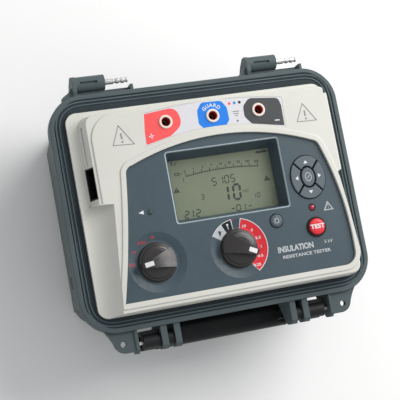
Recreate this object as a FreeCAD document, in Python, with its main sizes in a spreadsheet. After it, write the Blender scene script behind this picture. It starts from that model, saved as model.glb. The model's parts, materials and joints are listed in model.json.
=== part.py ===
# Portable insulation resistance tester in a rugged case, lid removed.
# Millimetres, +Z up out of the control panel, +Y towards the hinge side, origin at the centre of the
# feet's resting plane. Every driving dimension is a cell of the "Dimensions" spreadsheet.
import FreeCAD, Part
import math
import os
import Sketcher

os.makedirs("parts", exist_ok=True)
doc = FreeCAD.newDocument("insulation_tester")

DIMENSIONS = {
    # case shell
    "foot_height": 4, "foot_radius": 9, "foot_x": 98, "foot_y": 84,
    "base_width": 285, "base_depth": 214, "base_corner": 26,
    "shell_width": 302, "shell_depth": 232, "shell_corner": 32,
    "rim_width": 310, "rim_depth": 240, "rim_corner": 36,
    "rim_bottom": 104, "rim_top": 118, "wall": 3.5,
    "mouth_width": 282, "mouth_depth": 212, "mouth_corner": 17, "mouth_y": -1.5,
    "ledge_outer_lip": 5, "ledge_depth": 5, "seal_height": 3.6,
    "bumper_length": 172, "bumper_y": -4,
    "notch_length": 13, "notch_y": -61,
    # screw columns
    "column_x": 122, "column_y": 85, "column_radius": 6.5, "column_top": 100,
    "counterbore_radius": 4.3, "counterbore_top": 86, "clearance_radius": 2.3,
    "screw_radius": 2.1, "screw_head_radius": 3.9, "screw_head_height": 3.5,
    # rear hinge brackets
    "hinge_y": 131.5, "hinge_z": 112, "hinge_radius": 8, "hinge_web": 4, "hinge_barrel": 30,
    "hinge_pitch": 186, "hinge_left_x": -125, "hinge_pin_radius": 3, "hinge_pin_reach": 25,
    "hinge_pin_seated": 20, "hinge_bore_radius": 4.2,
    # front lugs, handle and latches
    "pivot_y": -133.5, "pivot_z": 106, "lug_outer_y": -143.5,
    "handle_lug_x": 62.15, "shared_lug_x": 75.95, "latch_lug_x": 104.35,
    "handle_lug_width": 6.3, "shared_lug_width": 6.5, "latch_lug_width": 3.3,
    "handle_pin_radius": 2.5, "latch_pin_radius": 2, "pivot_clearance": 0.06,
    "handle_arm_x": 69, "handle_arm_width": 6.2, "handle_eye_radius": 7.5,
    "grip_length": 144.2, "grip_depth": 24, "grip_height": 20, "grip_y": -131.5, "grip_z": 54,
    "latch_x": 88.4, "latch_width": 17.2, "latch_eye_radius": 7.5,
    "padlock_hole_x": 118, "padlock_hole_y": -131.8, "padlock_hole_radius": 3,
    "padlock_plate_bottom": 108, "padlock_plate_height": 6,
    # panel moulding
    "flange_width": 276.6, "flange_depth": 206.5, "flange_y": -1.75, "flange_corner": 11,
    "skirt_bottom": 112, "flange_top": 120, "flange_skin": 2.5,
    "platform_top": 134, "hood_top": 135.2, "frame_top": 136.2,
    "sweep_radius": 23.5, "sweep_end_y": 6,
    "ledge_width": 4, "frame_width": 5.5, "ledge_bottom": 127,
    # control fascia
    "fascia_top": 133.2, "fascia_thickness": 3.5, "fascia_gap": 0.15,
    "fascia_left_x": -113.5, "fascia_right_x": 134, "fascia_bottom_y": -94,
    "fascia_top_left_x": -90, "fascia_top_left_y": 36.5,
    "fascia_top_right_x": 116, "fascia_top_right_y": 38,
    "fascia_left_radius": 900, "fascia_right_radius": 300, "fascia_arch_radius": 257.5,
    "tub_top_width": 120.2, "tub_top_depth": 71.4, "tub_top_x": 13.4, "tub_top_y": 11.5,
    "tub_floor_width": 109.5, "tub_floor_depth": 60.7, "tub_floor_x": 13.25, "tub_floor_y": 10.35,
    "tub_floor": 117, "tub_wall": 2, "tub_corner": 2.5,
    "dish_radius": 30, "dish_floor_radius": 22, "dish_depth": 2.2, "tub_chamfer": 1.3,
    # display
    "window_margin": 3.2, "window_thickness": 1.5, "lcd_thickness": 3, "backlight_thickness": 4,
    # terminals
    "terminal_x": 9, "terminal_y": 78.3, "terminal_pitch": 49.8,
    "overlay_depth": 0.5, "overlay_thickness": 0.45,
    "collar_radius": 7, "collar_height": 1.4, "collar_stem": 6.4, "sleeve_radius": 4.7,
    "sleeve_bore": 4.2, "contact_radius": 2.9, "contact_bore": 2.05, "socket_floor": 115,
    "contact_top": 128, "nut_radius": 9, "nut_height": 4,
    # rotary switches and knobs
    "mode_x": -74, "function_x": 11.7, "knob_y": -58.7, "knob_radius": 18.8, "knob_height": 13.5,
    "knob_gap": 0.5, "knob_bore": 10, "pointer_width": 4.6, "flare_width": 22, "shaft_radius": 3,
    "shaft_clearance": 0.05, "bushing_radius": 4.7,
    "switch_radius": 13, "switch_top": 127, "board_top": 105.6, "switch_nut_radius": 7,
    "mode_angle": 98, "function_angle": -115,
    # keys and buttons
    "pad_x": 98.6, "pad_y": 2, "pad_half_width": 18.6, "pad_half_height": 22.4, "key_gap": 1.8,
    "enter_half_width": 7, "enter_half_height": 9.8, "key_bottom": 131, "key_rise": 1.7,
    "backlight_x": 55.7, "backlight_y": -37.6, "backlight_radius": 6.7,
    "test_x": 97.4, "test_y": -50.1, "test_radius": 8.4, "test_ring_radius": 10.4,
    "led_x": 96.9, "led_y": -29.6, "led_radius": 2.7, "status_x": -72.9, "status_y": -9,
    "mat_bottom": 126.4, "mat_top": 129.4, "keypad_board_bottom": 122,
    # mains inlet
    "inlet_y": 27.5, "inlet_length": 32, "inlet_height": 14.6, "inlet_depth": 19,
    "inlet_wall": 1.4, "inlet_socket_depth": 14, "inlet_tilt": 25, "inlet_x": -124.2, "inlet_z": 127,
    # inside
    "board_thickness": 1.6, "post_radius": 3, "post_screw_radius": 1.4,
    "battery_width": 178, "battery_depth": 66, "battery_height": 35,
}


class Size:
    """A number and the spreadsheet expression that gives it, so one formula serves both."""

    def __init__(self, value, text):
        self.value = value
        self.text = text

    def __add__(self, other):
        other = as_size(other)
        return Size(self.value + other.value, f"({self.text} + {other.text})")

    def __sub__(self, other):
        other = as_size(other)
        return Size(self.value - other.value, f"({self.text} - {other.text})")

    def __mul__(self, other):
        other = as_size(other)
        return Size(self.value * other.value, f"({self.text} * {other.text})")

    def __truediv__(self, other):
        other = as_size(other)
        return Size(self.value / other.value, f"({self.text} / {other.text})")

    def __neg__(self):
        return Size(-self.value, f"(0 - {self.text})")

    def __radd__(self, other):
        return as_size(other) + self

    def __rsub__(self, other):
        return as_size(other) - self

    def __rmul__(self, other):
        return as_size(other) * self


def as_size(value):
    return value if isinstance(value, Size) else Size(float(value), f"{float(value):.6f}")


class Sheet:
    """The spreadsheet; an attribute gives the cell with that alias as a Size."""

    def __init__(self, cells):
        self.cells = cells
        page = doc.addObject("Spreadsheet::Sheet", "Dimensions")
        for row, (alias, value) in enumerate(cells.items(), 1):
            page.set(f"A{row}", alias)
            page.set(f"B{row}", str(value))
            page.setAlias(f"B{row}", alias)
        doc.recompute()

    def __getattr__(self, alias):
        return Size(float(self.cells[alias]), f"Dimensions.{alias}")


S = Sheet(DIMENSIONS)


# ---------------------------------------------------------------- helpers
def bind(item, prop, size):
    size = as_size(size)
    setattr(item, prop, size.value)
    item.setExpression(prop, size.text)


def place(item, x=0, y=0, z=0, axis=(0, 0, 1), angle=0):
    """Puts an object at a bound position, turned by a plain angle in degrees."""
    sizes = [as_size(v) for v in (x, y, z)]
    turn = FreeCAD.Rotation(FreeCAD.Vector(*axis), as_size(angle).value)
    item.Placement = FreeCAD.Placement(FreeCAD.Vector(*(s.value for s in sizes)), turn)
    for letter, size in zip("xyz", sizes):
        item.setExpression(f".Placement.Base.{letter}", size.text)
    if isinstance(angle, Size):
        item.setExpression(".Placement.Rotation.Angle", angle.text)
    return item


def box(name, width, depth, height, x, y, z):
    """A box centred on x and y that stands on z."""
    item = doc.addObject("Part::Box", name)
    bind(item, "Length", width)
    bind(item, "Width", depth)
    bind(item, "Height", height)
    return place(item, as_size(x) - as_size(width) / 2, as_size(y) - as_size(depth) / 2, z)


def span(name, low, high):
    """A box between two corners."""
    low = [as_size(v) for v in low]
    high = [as_size(v) for v in high]
    item = doc.addObject("Part::Box", name)
    for prop, a, b in zip(("Length", "Width", "Height"), low, high):
        bind(item, prop, b - a)
    return place(item, *low)


def rod(name, radius, length, x, y, z, axis=(0, 0, 1), angle=0):
    item = doc.addObject("Part::Cylinder", name)
    bind(item, "Radius", radius)
    bind(item, "Height", length)
    return place(item, x, y, z, axis, angle)


def rod_x(name, radius, length, x, y, z):
    """A cylinder that runs along +X from x."""
    return rod(name, radius, length, x, y, z, (0, 1, 0), 90)


def fuse(name, *shapes):
    item = doc.addObject("Part::MultiFuse", name)
    item.Shapes = list(shapes)
    item.Refine = True
    return item


def cut(name, base, *tools):
    item = doc.addObject("Part::Cut", name)
    item.Base = base
    item.Tool = tools[0] if len(tools) == 1 else fuse(name + "_tools", *tools)
    item.Refine = True
    return item


def common(name, first, second):
    item = doc.addObject("Part::Common", name)
    item.Base = first
    item.Tool = second
    return item


def rounded(name, base, radius, chosen, kind="Part::Fillet"):
    """Fillets (or chamfers) the edges of base that the test picks."""
    doc.recompute()
    numbers = [i for i, edge in enumerate(base.Shape.Edges, 1) if chosen(edge)]
    if not numbers:
        raise RuntimeError(f"{name}: no edge was picked")
    item = doc.addObject(kind, name)
    item.Base = base
    item.Edges = [(i, as_size(radius).value, as_size(radius).value) for i in numbers]
    return item


def outline_edge(edge, z, tolerance=0.02):
    """True where an edge lies flat at height z."""
    bounds = edge.BoundBox
    return abs(bounds.ZMin - z) < tolerance and abs(bounds.ZMax - z) < tolerance


def new_body(name):
    body = doc.addObject("PartDesign::Body", name)
    doc.recompute()
    return body


def new_sketch(body, name, plane="XY_Plane", height=0, x=0, y=0):
    """A sketch on one of the body's origin planes, raised by a bound height."""
    sketch = body.newObject("Sketcher::SketchObject", name)
    origin = next(f for f in body.Origin.OriginFeatures if f.Role == plane)
    sketch.AttachmentSupport = [(origin, "")]
    sketch.MapMode = "FlatFace"
    sizes = [as_size(v) for v in (x, y, height)]
    base = FreeCAD.Vector(*(s.value for s in sizes))
    sketch.AttachmentOffset = FreeCAD.Placement(base, FreeCAD.Rotation())
    for letter, size in zip("xyz", sizes):
        sketch.setExpression(f".AttachmentOffset.Base.{letter}", size.text)
    return sketch


def pin_point(sketch, geometry, end, x, y):
    """Fixes one point of a sketch at a bound place."""
    for name, axis, size in (("DistanceX", -2, as_size(x)), ("DistanceY", -1, as_size(y))):
        if abs(size.value) < 1e-9:
            sketch.addConstraint(Sketcher.Constraint("PointOnObject", geometry, end, axis))
        elif size.value > 0:
            n = sketch.addConstraint(Sketcher.Constraint(name, -1, 1, geometry, end, size.value))
            sketch.setExpression(f"Constraints[{n}]", size.text)
        else:
            n = sketch.addConstraint(Sketcher.Constraint(name, geometry, end, -1, 1, -size.value))
            sketch.setExpression(f"Constraints[{n}]", (-size).text)


def bound_radius(sketch, geometry, radius):
    n = sketch.addConstraint(Sketcher.Constraint("Radius", geometry, radius.value))
    sketch.setExpression(f"Constraints[{n}]", radius.text)


def draw_circle(sketch, radius, x=0, y=0):
    centre = FreeCAD.Vector(as_size(x).value, as_size(y).value, 0)
    up = FreeCAD.Vector(0, 0, 1)
    n = sketch.addGeometry(Part.Circle(centre, up, as_size(radius).value), False)
    pin_point(sketch, n, 3, x, y)
    bound_radius(sketch, n, as_size(radius))


def draw_polygon(sketch, points):
    """A closed outline of straight lines between bound points."""
    corners = [FreeCAD.Vector(as_size(x).value, as_size(y).value, 0) for x, y in points]
    count = len(corners)
    first = None
    for i in range(count):
        n = sketch.addGeometry(Part.LineSegment(corners[i], corners[(i + 1) % count]), False)
        first = n if first is None else first
    for i in range(count):
        after = first + (i + 1) % count
        sketch.addConstraint(Sketcher.Constraint("Coincident", first + i, 2, after, 1))
    for i, (x, y) in enumerate(points):
        pin_point(sketch, first + i, 1, x, y)


def draw_rounded_rectangle(sketch, width, depth, radii):
    """A rectangle centred on the sketch's origin, with the radii of its corners from lower left, anticlockwise."""
    half_x, half_y = as_size(width) / 2, as_size(depth) / 2
    radii = [as_size(r) for r in (radii if isinstance(radii, (list, tuple)) else [radii] * 4)]
    corner_signs = [(-1, -1), (1, -1), (1, 1), (-1, 1)]
    arcs = []
    for (sx, sy), radius in zip(corner_signs, radii):
        cx, cy = half_x * sx - radius * sx, half_y * sy - radius * sy
        middle = math.atan2(sy, sx)
        circle = Part.Circle(FreeCAD.Vector(cx.value, cy.value, 0), FreeCAD.Vector(0, 0, 1), radius.value)
        arc = Part.ArcOfCircle(circle, middle - math.pi / 4, middle + math.pi / 4)
        n = sketch.addGeometry(arc, False)
        on_side, on_end = (half_x * sx, cy), (cx, half_y * sy)
        start, finish = (on_side, on_end) if sx * sy > 0 else (on_end, on_side)
        pin_point(sketch, n, 1, *start)
        pin_point(sketch, n, 2, *finish)
        bound_radius(sketch, n, radius)
        arcs.append(n)
    for i, n in enumerate(arcs):
        after = arcs[(i + 1) % 4]
        a, b = sketch.getPoint(n, 2), sketch.getPoint(after, 1)
        line = sketch.addGeometry(Part.LineSegment(a, b), False)
        sketch.addConstraint(Sketcher.Constraint("Coincident", n, 2, line, 1))
        sketch.addConstraint(Sketcher.Constraint("Coincident", line, 2, after, 1))


def draw_arched(sketch, corners):
    """A closed outline of (x, y, radius) corners: the side that leaves a corner is an arc of that radius, bulging
    outwards for a positive radius and inwards for a negative one, or a straight line where the radius is 0."""
    count = len(corners)
    geometry = []
    for i in range(count):
        x, y, radius = (as_size(v) for v in corners[i])
        a = FreeCAD.Vector(x.value, y.value, 0)
        b = FreeCAD.Vector(*(as_size(v).value for v in corners[(i + 1) % count][:2]), 0)
        if radius.value == 0:
            geometry.append(sketch.addGeometry(Part.LineSegment(a, b), False))
            continue
        chord = b - a
        outwards = FreeCAD.Vector(chord.y, -chord.x, 0).normalize()
        size = abs(radius.value)
        sagitta = size - math.sqrt(size * size - chord.Length ** 2 / 4)
        middle = (a + b) * 0.5 + outwards * math.copysign(sagitta, radius.value)
        geometry.append(sketch.addGeometry(Part.Arc(a, middle, b), False))
    ends = []
    for n, (x, y, radius) in zip(geometry, corners):
        near = FreeCAD.Vector(as_size(x).value, as_size(y).value, 0)
        forward = (sketch.getPoint(n, 1) - near).Length < 1e-6
        ends.append((1, 2) if forward else (2, 1))
    for i, n in enumerate(geometry):
        after = (i + 1) % count
        pair = (n, ends[i][1], geometry[after], ends[after][0])
        sketch.addConstraint(Sketcher.Constraint("Coincident", *pair))
        pin_point(sketch, n, ends[i][0], corners[i][0], corners[i][1])
        radius = as_size(corners[i][2])
        if radius.value:
            bound_radius(sketch, n, radius if radius.value > 0 else -radius)


def pad(body, sketch, length, both_ways=False, downwards=False):
    item = body.newObject("PartDesign::Pad", sketch.Name + "_pad")
    item.Profile = sketch
    bind(item, "Length", length)
    item.Midplane = both_ways
    item.Reversed = downwards
    body.Tip = item
    return item


def pocket(body, sketch, length):
    """Cuts downwards from the sketch by a bound depth."""
    item = body.newObject("PartDesign::Pocket", sketch.Name + "_pocket")
    item.Profile = sketch
    bind(item, "Length", length)
    body.Tip = item
    return item


def loft(body, lower, upper, cutting=False):
    kind = "PartDesign::SubtractiveLoft" if cutting else "PartDesign::AdditiveLoft"
    item = body.newObject(kind, lower.Name + "_loft")
    item.Profile = lower
    item.Sections = [upper]
    item.Ruled = True
    body.Tip = item
    return item


def turned(name, profile, x=0, y=0, z=0):
    """A body turned about Z from a closed (radius, height) profile."""
    body = new_body(name)
    sketch = new_sketch(body, name + "_profile", "XZ_Plane")
    draw_polygon(sketch, profile)
    item = body.newObject("PartDesign::Revolution", name + "_turn")
    item.Profile = sketch
    item.ReferenceAxis = (sketch, ["V_Axis"])
    item.Angle = 360
    body.Tip = item
    return place(body, x, y, z)


def side_profile(name, points, width, x):
    """A body with a (y, z) outline, as wide as given along X about x."""
    body = new_body(name)
    sketch = new_sketch(body, name + "_profile", "YZ_Plane")
    draw_polygon(sketch, points)
    pad(body, sketch, width, both_ways=True)
    return place(body, x, 0, 0)


def slab(name, draw, bottom, thickness, x=0, y=0):
    """A plate whose outline a function draws, standing on a bound height."""
    body = new_body(name)
    sketch = new_sketch(body, name + "_outline")
    draw(sketch)
    pad(body, sketch, thickness)
    return place(body, x, y, bottom)


def rounded_slab(name, width, depth, radii, bottom, thickness, x=0, y=0):
    return slab(name, lambda k: draw_rounded_rectangle(k, width, depth, radii), bottom, thickness, x, y)


def ellipse_prism(name, half_width, half_height, x, y, bottom, height):
    """An upright elliptical cylinder whose longer axis lies along Y."""
    curve = doc.addObject("Part::Ellipse", name + "_curve")
    bind(curve, "MajorRadius", half_height)
    bind(curve, "MinorRadius", half_width)
    place(curve, x, y, bottom, (0, 0, 1), 90)
    item = doc.addObject("Part::Extrusion", name)
    item.Base = curve
    item.DirMode = "Custom"
    item.Dir = FreeCAD.Vector(0, 0, 1)
    item.Solid = True
    bind(item, "LengthFwd", height)
    return item


FINISHED = {}


def finished(label, item):
    """Marks an object as the sub-part of that label."""
    item.Label = label
    FINISHED[label] = item
    return item


# ---------------------------------------------------------------- case
def shell_body():
    """Tapered box, rim band, cavity, mouth and seal ledge, as one turned-out moulding."""
    body = new_body("shell")
    lower = new_sketch(body, "shell_foot", height=S.foot_height)
    draw_rounded_rectangle(lower, S.base_width, S.base_depth, S.base_corner)
    upper = new_sketch(body, "shell_head", height=S.rim_bottom)
    draw_rounded_rectangle(upper, S.shell_width, S.shell_depth, S.shell_corner)
    loft(body, lower, upper)
    rim = new_sketch(body, "rim_band", height=S.rim_bottom)
    draw_rounded_rectangle(rim, S.rim_width, S.rim_depth, S.rim_corner)
    pad(body, rim, S.rim_top - S.rim_bottom)
    floor = new_sketch(body, "cavity_floor", height=S.foot_height + S.wall)
    draw_rounded_rectangle(floor, S.base_width - S.wall * 2, S.base_depth - S.wall * 2, S.base_corner - S.wall)
    ceiling = new_sketch(body, "cavity_ceiling", height=S.rim_bottom)
    draw_rounded_rectangle(
        ceiling, S.shell_width - S.wall * 2, S.shell_depth - S.wall * 2, S.shell_corner - S.wall
    )
    loft(body, floor, ceiling, cutting=True)
    mouth = new_sketch(body, "mouth", height=S.rim_top, y=S.mouth_y)
    draw_rounded_rectangle(mouth, S.mouth_width, S.mouth_depth, S.mouth_corner)
    pocket(body, mouth, S.rim_top - S.rim_bottom)
    ledge = new_sketch(body, "seal_ledge", height=S.rim_top)
    outer = S.ledge_outer_lip
    draw_rounded_rectangle(ledge, S.rim_width - outer * 2, S.rim_depth - outer * 2, S.rim_corner - outer)
    pocket(body, ledge, S.ledge_depth)
    return body


def hinge_bracket(name, x):
    """A rear bracket: a web plate, a barrel and the rib under it, with a flat beside it for the lid's knuckle."""
    y, z, radius = S.hinge_y, S.hinge_z, S.hinge_radius
    web_outline = [
        (113, z - 32), (y + 2, z - 12), (y + radius, z - 3), (y + radius, z + 3),
        (y + 3, z + radius), (y - radius, z + radius), (118, z + 5), (117.5, z + 5), (117.5, z - 9),
        (113, z - 9),
    ]
    web = side_profile(name + "_web", web_outline, S.hinge_web, x + S.hinge_web / 2)
    barrel_x = x + S.hinge_web
    barrel = rod_x(name + "_barrel", radius, S.hinge_barrel, barrel_x, y, z)
    rib_outline = [(113, z - 28), (y - 1, z - 6), (y - 1, z), (113, z)]
    rib = side_profile(name + "_rib", rib_outline, S.hinge_barrel, barrel_x + S.hinge_barrel / 2)
    flat_x = barrel_x + S.hinge_barrel
    flat = span(name + "_flat", (flat_x, 117, z - 8), (flat_x + 29, 124, z - 3))
    stop = span(name + "_stop", (flat_x + 26, 117, z - 8), (flat_x + 29, 126, z + 3))
    corners = [(x + 1, 116), (x + 1, 130), (x - 4, 124), (x - 11, 119.5), (x - 11, 116)]
    gusset = slab(name + "_gusset", lambda k: draw_polygon(k, corners), S.rim_bottom + 2, 10)
    return [web, barrel, rib, flat, stop, gusset]


def hinge_bracket_cuts(name, x):
    """The pin's bore in the barrel and the moulding slot on top of it."""
    barrel_end = x + S.hinge_web + S.hinge_barrel
    seated = S.hinge_pin_seated
    bore = rod_x(name + "_bore", S.hinge_bore_radius, seated, barrel_end - seated, S.hinge_y, S.hinge_z)
    top = S.hinge_z + S.hinge_radius
    slot = span(name + "_slot", (x + 8, S.hinge_y - 1.5, top - 2), (x + 26, S.hinge_y + 1, top + 1))
    return [bore, slot]


def front_lug(name, width, x):
    outline = [
        (-111, S.pivot_z - 32), (S.lug_outer_y + 1, S.pivot_z - 8), (S.lug_outer_y, S.pivot_z - 5),
        (S.lug_outer_y, S.pivot_z + 5), (S.lug_outer_y + 4, S.pivot_z + 9.5), (-117.5, S.pivot_z + 9.5),
        (-117.5, S.pivot_z - 3), (-111, S.pivot_z - 3),
    ]
    return side_profile(name, outline, width, x)


def padlock_plate(name, side):
    """A flat horizontal ear with a rounded outer corner, beside the latch's lug."""
    outline = [
        (S.latch_lug_x, -117.5, 0), (S.latch_lug_x, -141, 0), (116, -141, 12), (126, -134, -60),
        (137, -114, 0),
    ]
    draw = lambda k: draw_arched(k, outline)
    plate = slab(name, draw, S.padlock_plate_bottom, S.padlock_plate_height)
    if side < 0:
        plate = mirrored(name + "_left", plate)
    return plate


def mirrored(name, source, through=(0, 0), normal=(1, 0, 0)):
    """The mirror image of an object in the upright plane through a point, with a normal."""
    item = doc.addObject("Part::Mirroring", name)
    item.Source = source
    item.Normal = FreeCAD.Vector(*normal)
    sizes = [as_size(v) for v in through]
    item.Base = FreeCAD.Vector(sizes[0].value, sizes[1].value, 0)
    for letter, size in zip("xy", sizes):
        item.setExpression(f".Base.{letter}", size.text)
    return item


def bumper(name, side):
    """A side pad that follows the wall's taper, with a strap notch."""
    outline = [(140, 18), (145.4, 20), (151.9, 94), (150, 98), (146, 98)]
    body = new_body(name)
    sketch = new_sketch(body, name + "_profile", "XZ_Plane")
    draw_polygon(sketch, outline)
    pad(body, sketch, S.bumper_length, both_ways=True)
    place(body, 0, S.bumper_y, 0)
    notch = box(name + "_notch", 10, S.notch_length, 22, 152.4, S.notch_y, 50)
    item = cut(name + "_pad", body, notch)
    return mirrored(name + "_left", item) if side < 0 else item


def case_base():
    lip = S.rim_top.value
    shell = rounded("shell_soft", shell_body(), 0.9, lambda e: outline_edge(e, lip))
    pieces = [shell]
    cuts = []
    corners = [(sx, sy) for sx in (-1, 1) for sy in (-1, 1)]
    for n, (sx, sy) in enumerate(corners):
        x, y = S.column_x * sx, S.column_y * sy
        height = S.column_top - S.foot_height - 1
        pieces.append(rod(f"column_{n}", S.column_radius, height, x, y, S.foot_height + 1))
        depth = S.counterbore_top - S.foot_height + 1
        cuts.append(rod(f"counterbore_{n}", S.counterbore_radius, depth, x, y, S.foot_height - 1))
        cuts.append(rod(f"clearance_{n}", S.clearance_radius, S.column_top, x, y, S.foot_height))
    for side, x in (("left", S.hinge_left_x), ("right", S.hinge_left_x + S.hinge_pitch)):
        pieces += hinge_bracket(f"hinge_{side}", x)
        cuts += hinge_bracket_cuts(f"hinge_{side}", x)
    for side, sign in (("left", -1), ("right", 1)):
        pieces.append(front_lug(f"handle_lug_{side}", S.handle_lug_width, S.handle_lug_x * sign))
        pieces.append(front_lug(f"shared_lug_{side}", S.shared_lug_width, S.shared_lug_x * sign))
        pieces.append(front_lug(f"latch_lug_{side}", S.latch_lug_width, S.latch_lug_x * sign))
        pieces.append(padlock_plate(f"padlock_plate_{side}", sign))
        pieces.append(bumper(f"bumper_{side}", sign))
        x = S.padlock_hole_x * sign
        cuts.append(rod(f"padlock_hole_{side}", S.padlock_hole_radius, 12, x, S.padlock_hole_y, 105))
        low, high = handle_pin_span(sign)
        cuts.append(rod_x(f"handle_bore_{side}", S.handle_pin_radius, high - low, low, S.pivot_y, S.pivot_z))
        low, high = latch_pin_span(sign)
        cuts.append(rod_x(f"latch_bore_{side}", S.latch_pin_radius, high - low, low, S.pivot_y, S.pivot_z))
    finished("case_base", cut("case_whole", fuse("case_pieces", *pieces), *cuts))


def handle_pin_span(side):
    """The ends along X of a handle pin, lowest first."""
    inner = S.handle_lug_x - S.handle_lug_width / 2 + 0.8
    outer = S.shared_lug_x - 0.4
    return (inner, outer) if side > 0 else (-outer, -inner)


def latch_pin_span(side):
    """The ends along X of a latch pin, lowest first."""
    inner = S.shared_lug_x + 0.4
    outer = S.latch_lug_x + S.latch_lug_width / 2
    return (inner, outer) if side > 0 else (-outer, -inner)


def rim_seal():
    body = new_body("seal")
    sketch = new_sketch(body, "seal_outline", height=S.rim_top - S.ledge_depth)
    outer = S.ledge_outer_lip
    draw_rounded_rectangle(sketch, S.rim_width - outer * 2, S.rim_depth - outer * 2, S.rim_corner - outer)
    pad(body, sketch, S.seal_height)
    inside = new_sketch(body, "seal_inside", height=S.rim_top, y=S.mouth_y)
    draw_rounded_rectangle(inside, S.mouth_width, S.mouth_depth, S.mouth_corner)
    pocket(body, inside, S.ledge_depth)
    finished("rim_seal", body)


def rubber_feet():
    """A foot near each corner and one under the middle, all on one plane."""
    feet = []
    for n, (sx, sy) in enumerate([(0, 0)] + [(a, b) for a in (-1, 1) for b in (-1, 1)]):
        profile = [
            (0, 0), (S.foot_radius - 1, 0), (S.foot_radius, 1), (S.foot_radius, S.foot_height),
            (0, S.foot_height),
        ]
        feet.append(turned(f"foot_{n}", profile, S.foot_x * sx, S.foot_y * sy))
    finished("rubber_feet", fuse("feet", *feet))


def hinge_pins():
    """Steel pins pressed into the barrels; the lid's knuckles slide off their grooved ends sideways."""
    radius, seated = S.hinge_pin_radius, S.hinge_pin_seated
    neck = radius - 0.9
    for side, x in (("left", S.hinge_left_x), ("right", S.hinge_left_x + S.hinge_pitch)):
        start = x + S.hinge_web + S.hinge_barrel - seated
        profile = [(0, 0), (S.hinge_bore_radius, 0), (S.hinge_bore_radius, seated), (radius, seated)]
        for ring in (0, 1, 2):
            at = seated + 9.5 + ring * 5.5
            profile += [(radius, at), (neck, at + 0.8), (neck, at + 2.2), (radius, at + 3)]
        tip = seated + S.hinge_pin_reach
        profile += [(radius, tip - 1), (radius - 1, tip), (0, tip)]
        item = turned(f"hinge_pin_{side}_body", profile)
        place(item, start, S.hinge_y, S.hinge_z, (0, 1, 0), 90)
        finished(f"hinge_pin_{side}", item)


def group_of_pins(label, spans, radius):
    pins = []
    for n, (low, high) in enumerate(spans):
        pins.append(rod_x(f"{label}_{n}", radius, high - low, low, S.pivot_y, S.pivot_z))
    finished(label, fuse(label + "_group", *pins))


def carry_handle():
    """A deep bar between two arms that hang from the pivot pins."""
    body = new_body("grip")
    sketch = new_sketch(body, "grip_section", "YZ_Plane", x=S.grip_y, y=S.grip_z)
    draw_rounded_rectangle(sketch, S.grip_depth, S.grip_height, 7)
    pad(body, sketch, S.grip_length, both_ways=True)
    arms = []
    for side in (-1, 1):
        x = S.handle_arm_x * side
        name = "left" if side < 0 else "right"
        low = x - S.handle_arm_width / 2
        arms.append(rod_x(f"eye_{name}", S.handle_eye_radius, S.handle_arm_width, low, S.pivot_y, S.pivot_z))
        half = S.handle_eye_radius
        outline = [
            (S.pivot_y - half, S.pivot_z), (S.grip_y - 9, S.grip_z), (S.grip_y + 9, S.grip_z),
            (S.pivot_y + half, S.pivot_z),
        ]
        arms.append(side_profile(f"arm_{name}", outline, S.handle_arm_width, x))
    gusset = [(S.grip_y - 7, S.grip_z), (S.grip_y + 7, S.grip_z), (S.grip_y + 4, S.grip_z + 20),
              (S.grip_y - 4, S.grip_z + 20)]
    for side in (-1, 1):
        x = (S.handle_arm_x - S.handle_arm_width / 2 - 3) * side
        arms.append(side_profile(f"gusset_{'l' if side < 0 else 'r'}", gusset, 6, x))
    bore = rod_x("handle_eye_bore", S.handle_pin_radius + S.pivot_clearance, 200, -100, S.pivot_y, S.pivot_z)
    whole = cut("handle_whole", fuse("handle_pieces", body, *arms), bore)
    finished("carry_handle", whole)


def latch(side):
    """A latch hanging open: a lever plate on a pivot eye, with its hook turned outwards."""
    name = "left" if side < 0 else "right"
    y, z, x = S.pivot_y, S.pivot_z, S.latch_x * side
    lever = [
        (y + 11, z + 2), (y + 11, z - 38), (y + 8, z - 46), (y - 2, z - 49), (y - 2, z - 46),
        (y + 4, z - 42), (y + 6, z - 27), (y - 3, z - 24), (y - 8.5, z - 19), (y - 8.5, z - 11),
        (y - 6, z - 11), (y - 5, z - 18), (y + 6, z - 21), (y + 6, z - 4), (y, z - 6), (y, z + 2),
    ]
    plate = side_profile(f"latch_plate_{name}", lever, S.latch_width, x)
    low = x - S.latch_width / 2
    eye = rod_x(f"latch_eye_{name}", S.latch_eye_radius, S.latch_width, low, y, z)
    ribs = []
    for n, offset in enumerate((-5.5, 0, 5.5)):
        outline = [(y + 6, z - 4), (y + 6, z - 21), (y + 3, z - 20), (y - 1, z - 5)]
        ribs.append(side_profile(f"latch_rib_{name}_{n}", outline, 1.6, x + offset))
    bore = rod_x(f"latch_eye_bore_{name}", S.latch_pin_radius + S.pivot_clearance, S.latch_width + 2, low - 1, y, z)
    finished(f"latch_{name}", cut(f"latch_whole_{name}", fuse(f"latch_solid_{name}", plate, eye, *ribs), bore))


# ---------------------------------------------------------------- panel moulding
def fascia_corners():
    """The control area's outline, as corners with the radius of the side that leaves each."""
    return [
        (S.fascia_left_x, S.fascia_bottom_y, 0),
        (S.fascia_right_x - 13, S.fascia_bottom_y, 13.5),
        (S.fascia_right_x, S.fascia_bottom_y + 14, S.fascia_right_radius),
        (S.fascia_top_right_x + 1, S.fascia_top_right_y - 4, 9),
        (S.fascia_top_right_x - 5, S.fascia_top_right_y + 1.5, S.fascia_arch_radius),
        (S.fascia_top_left_x + 7, S.fascia_top_left_y + 3, 9),
        (S.fascia_top_left_x - 0.7, S.fascia_top_left_y - 6, -S.fascia_left_radius),
    ]


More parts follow.
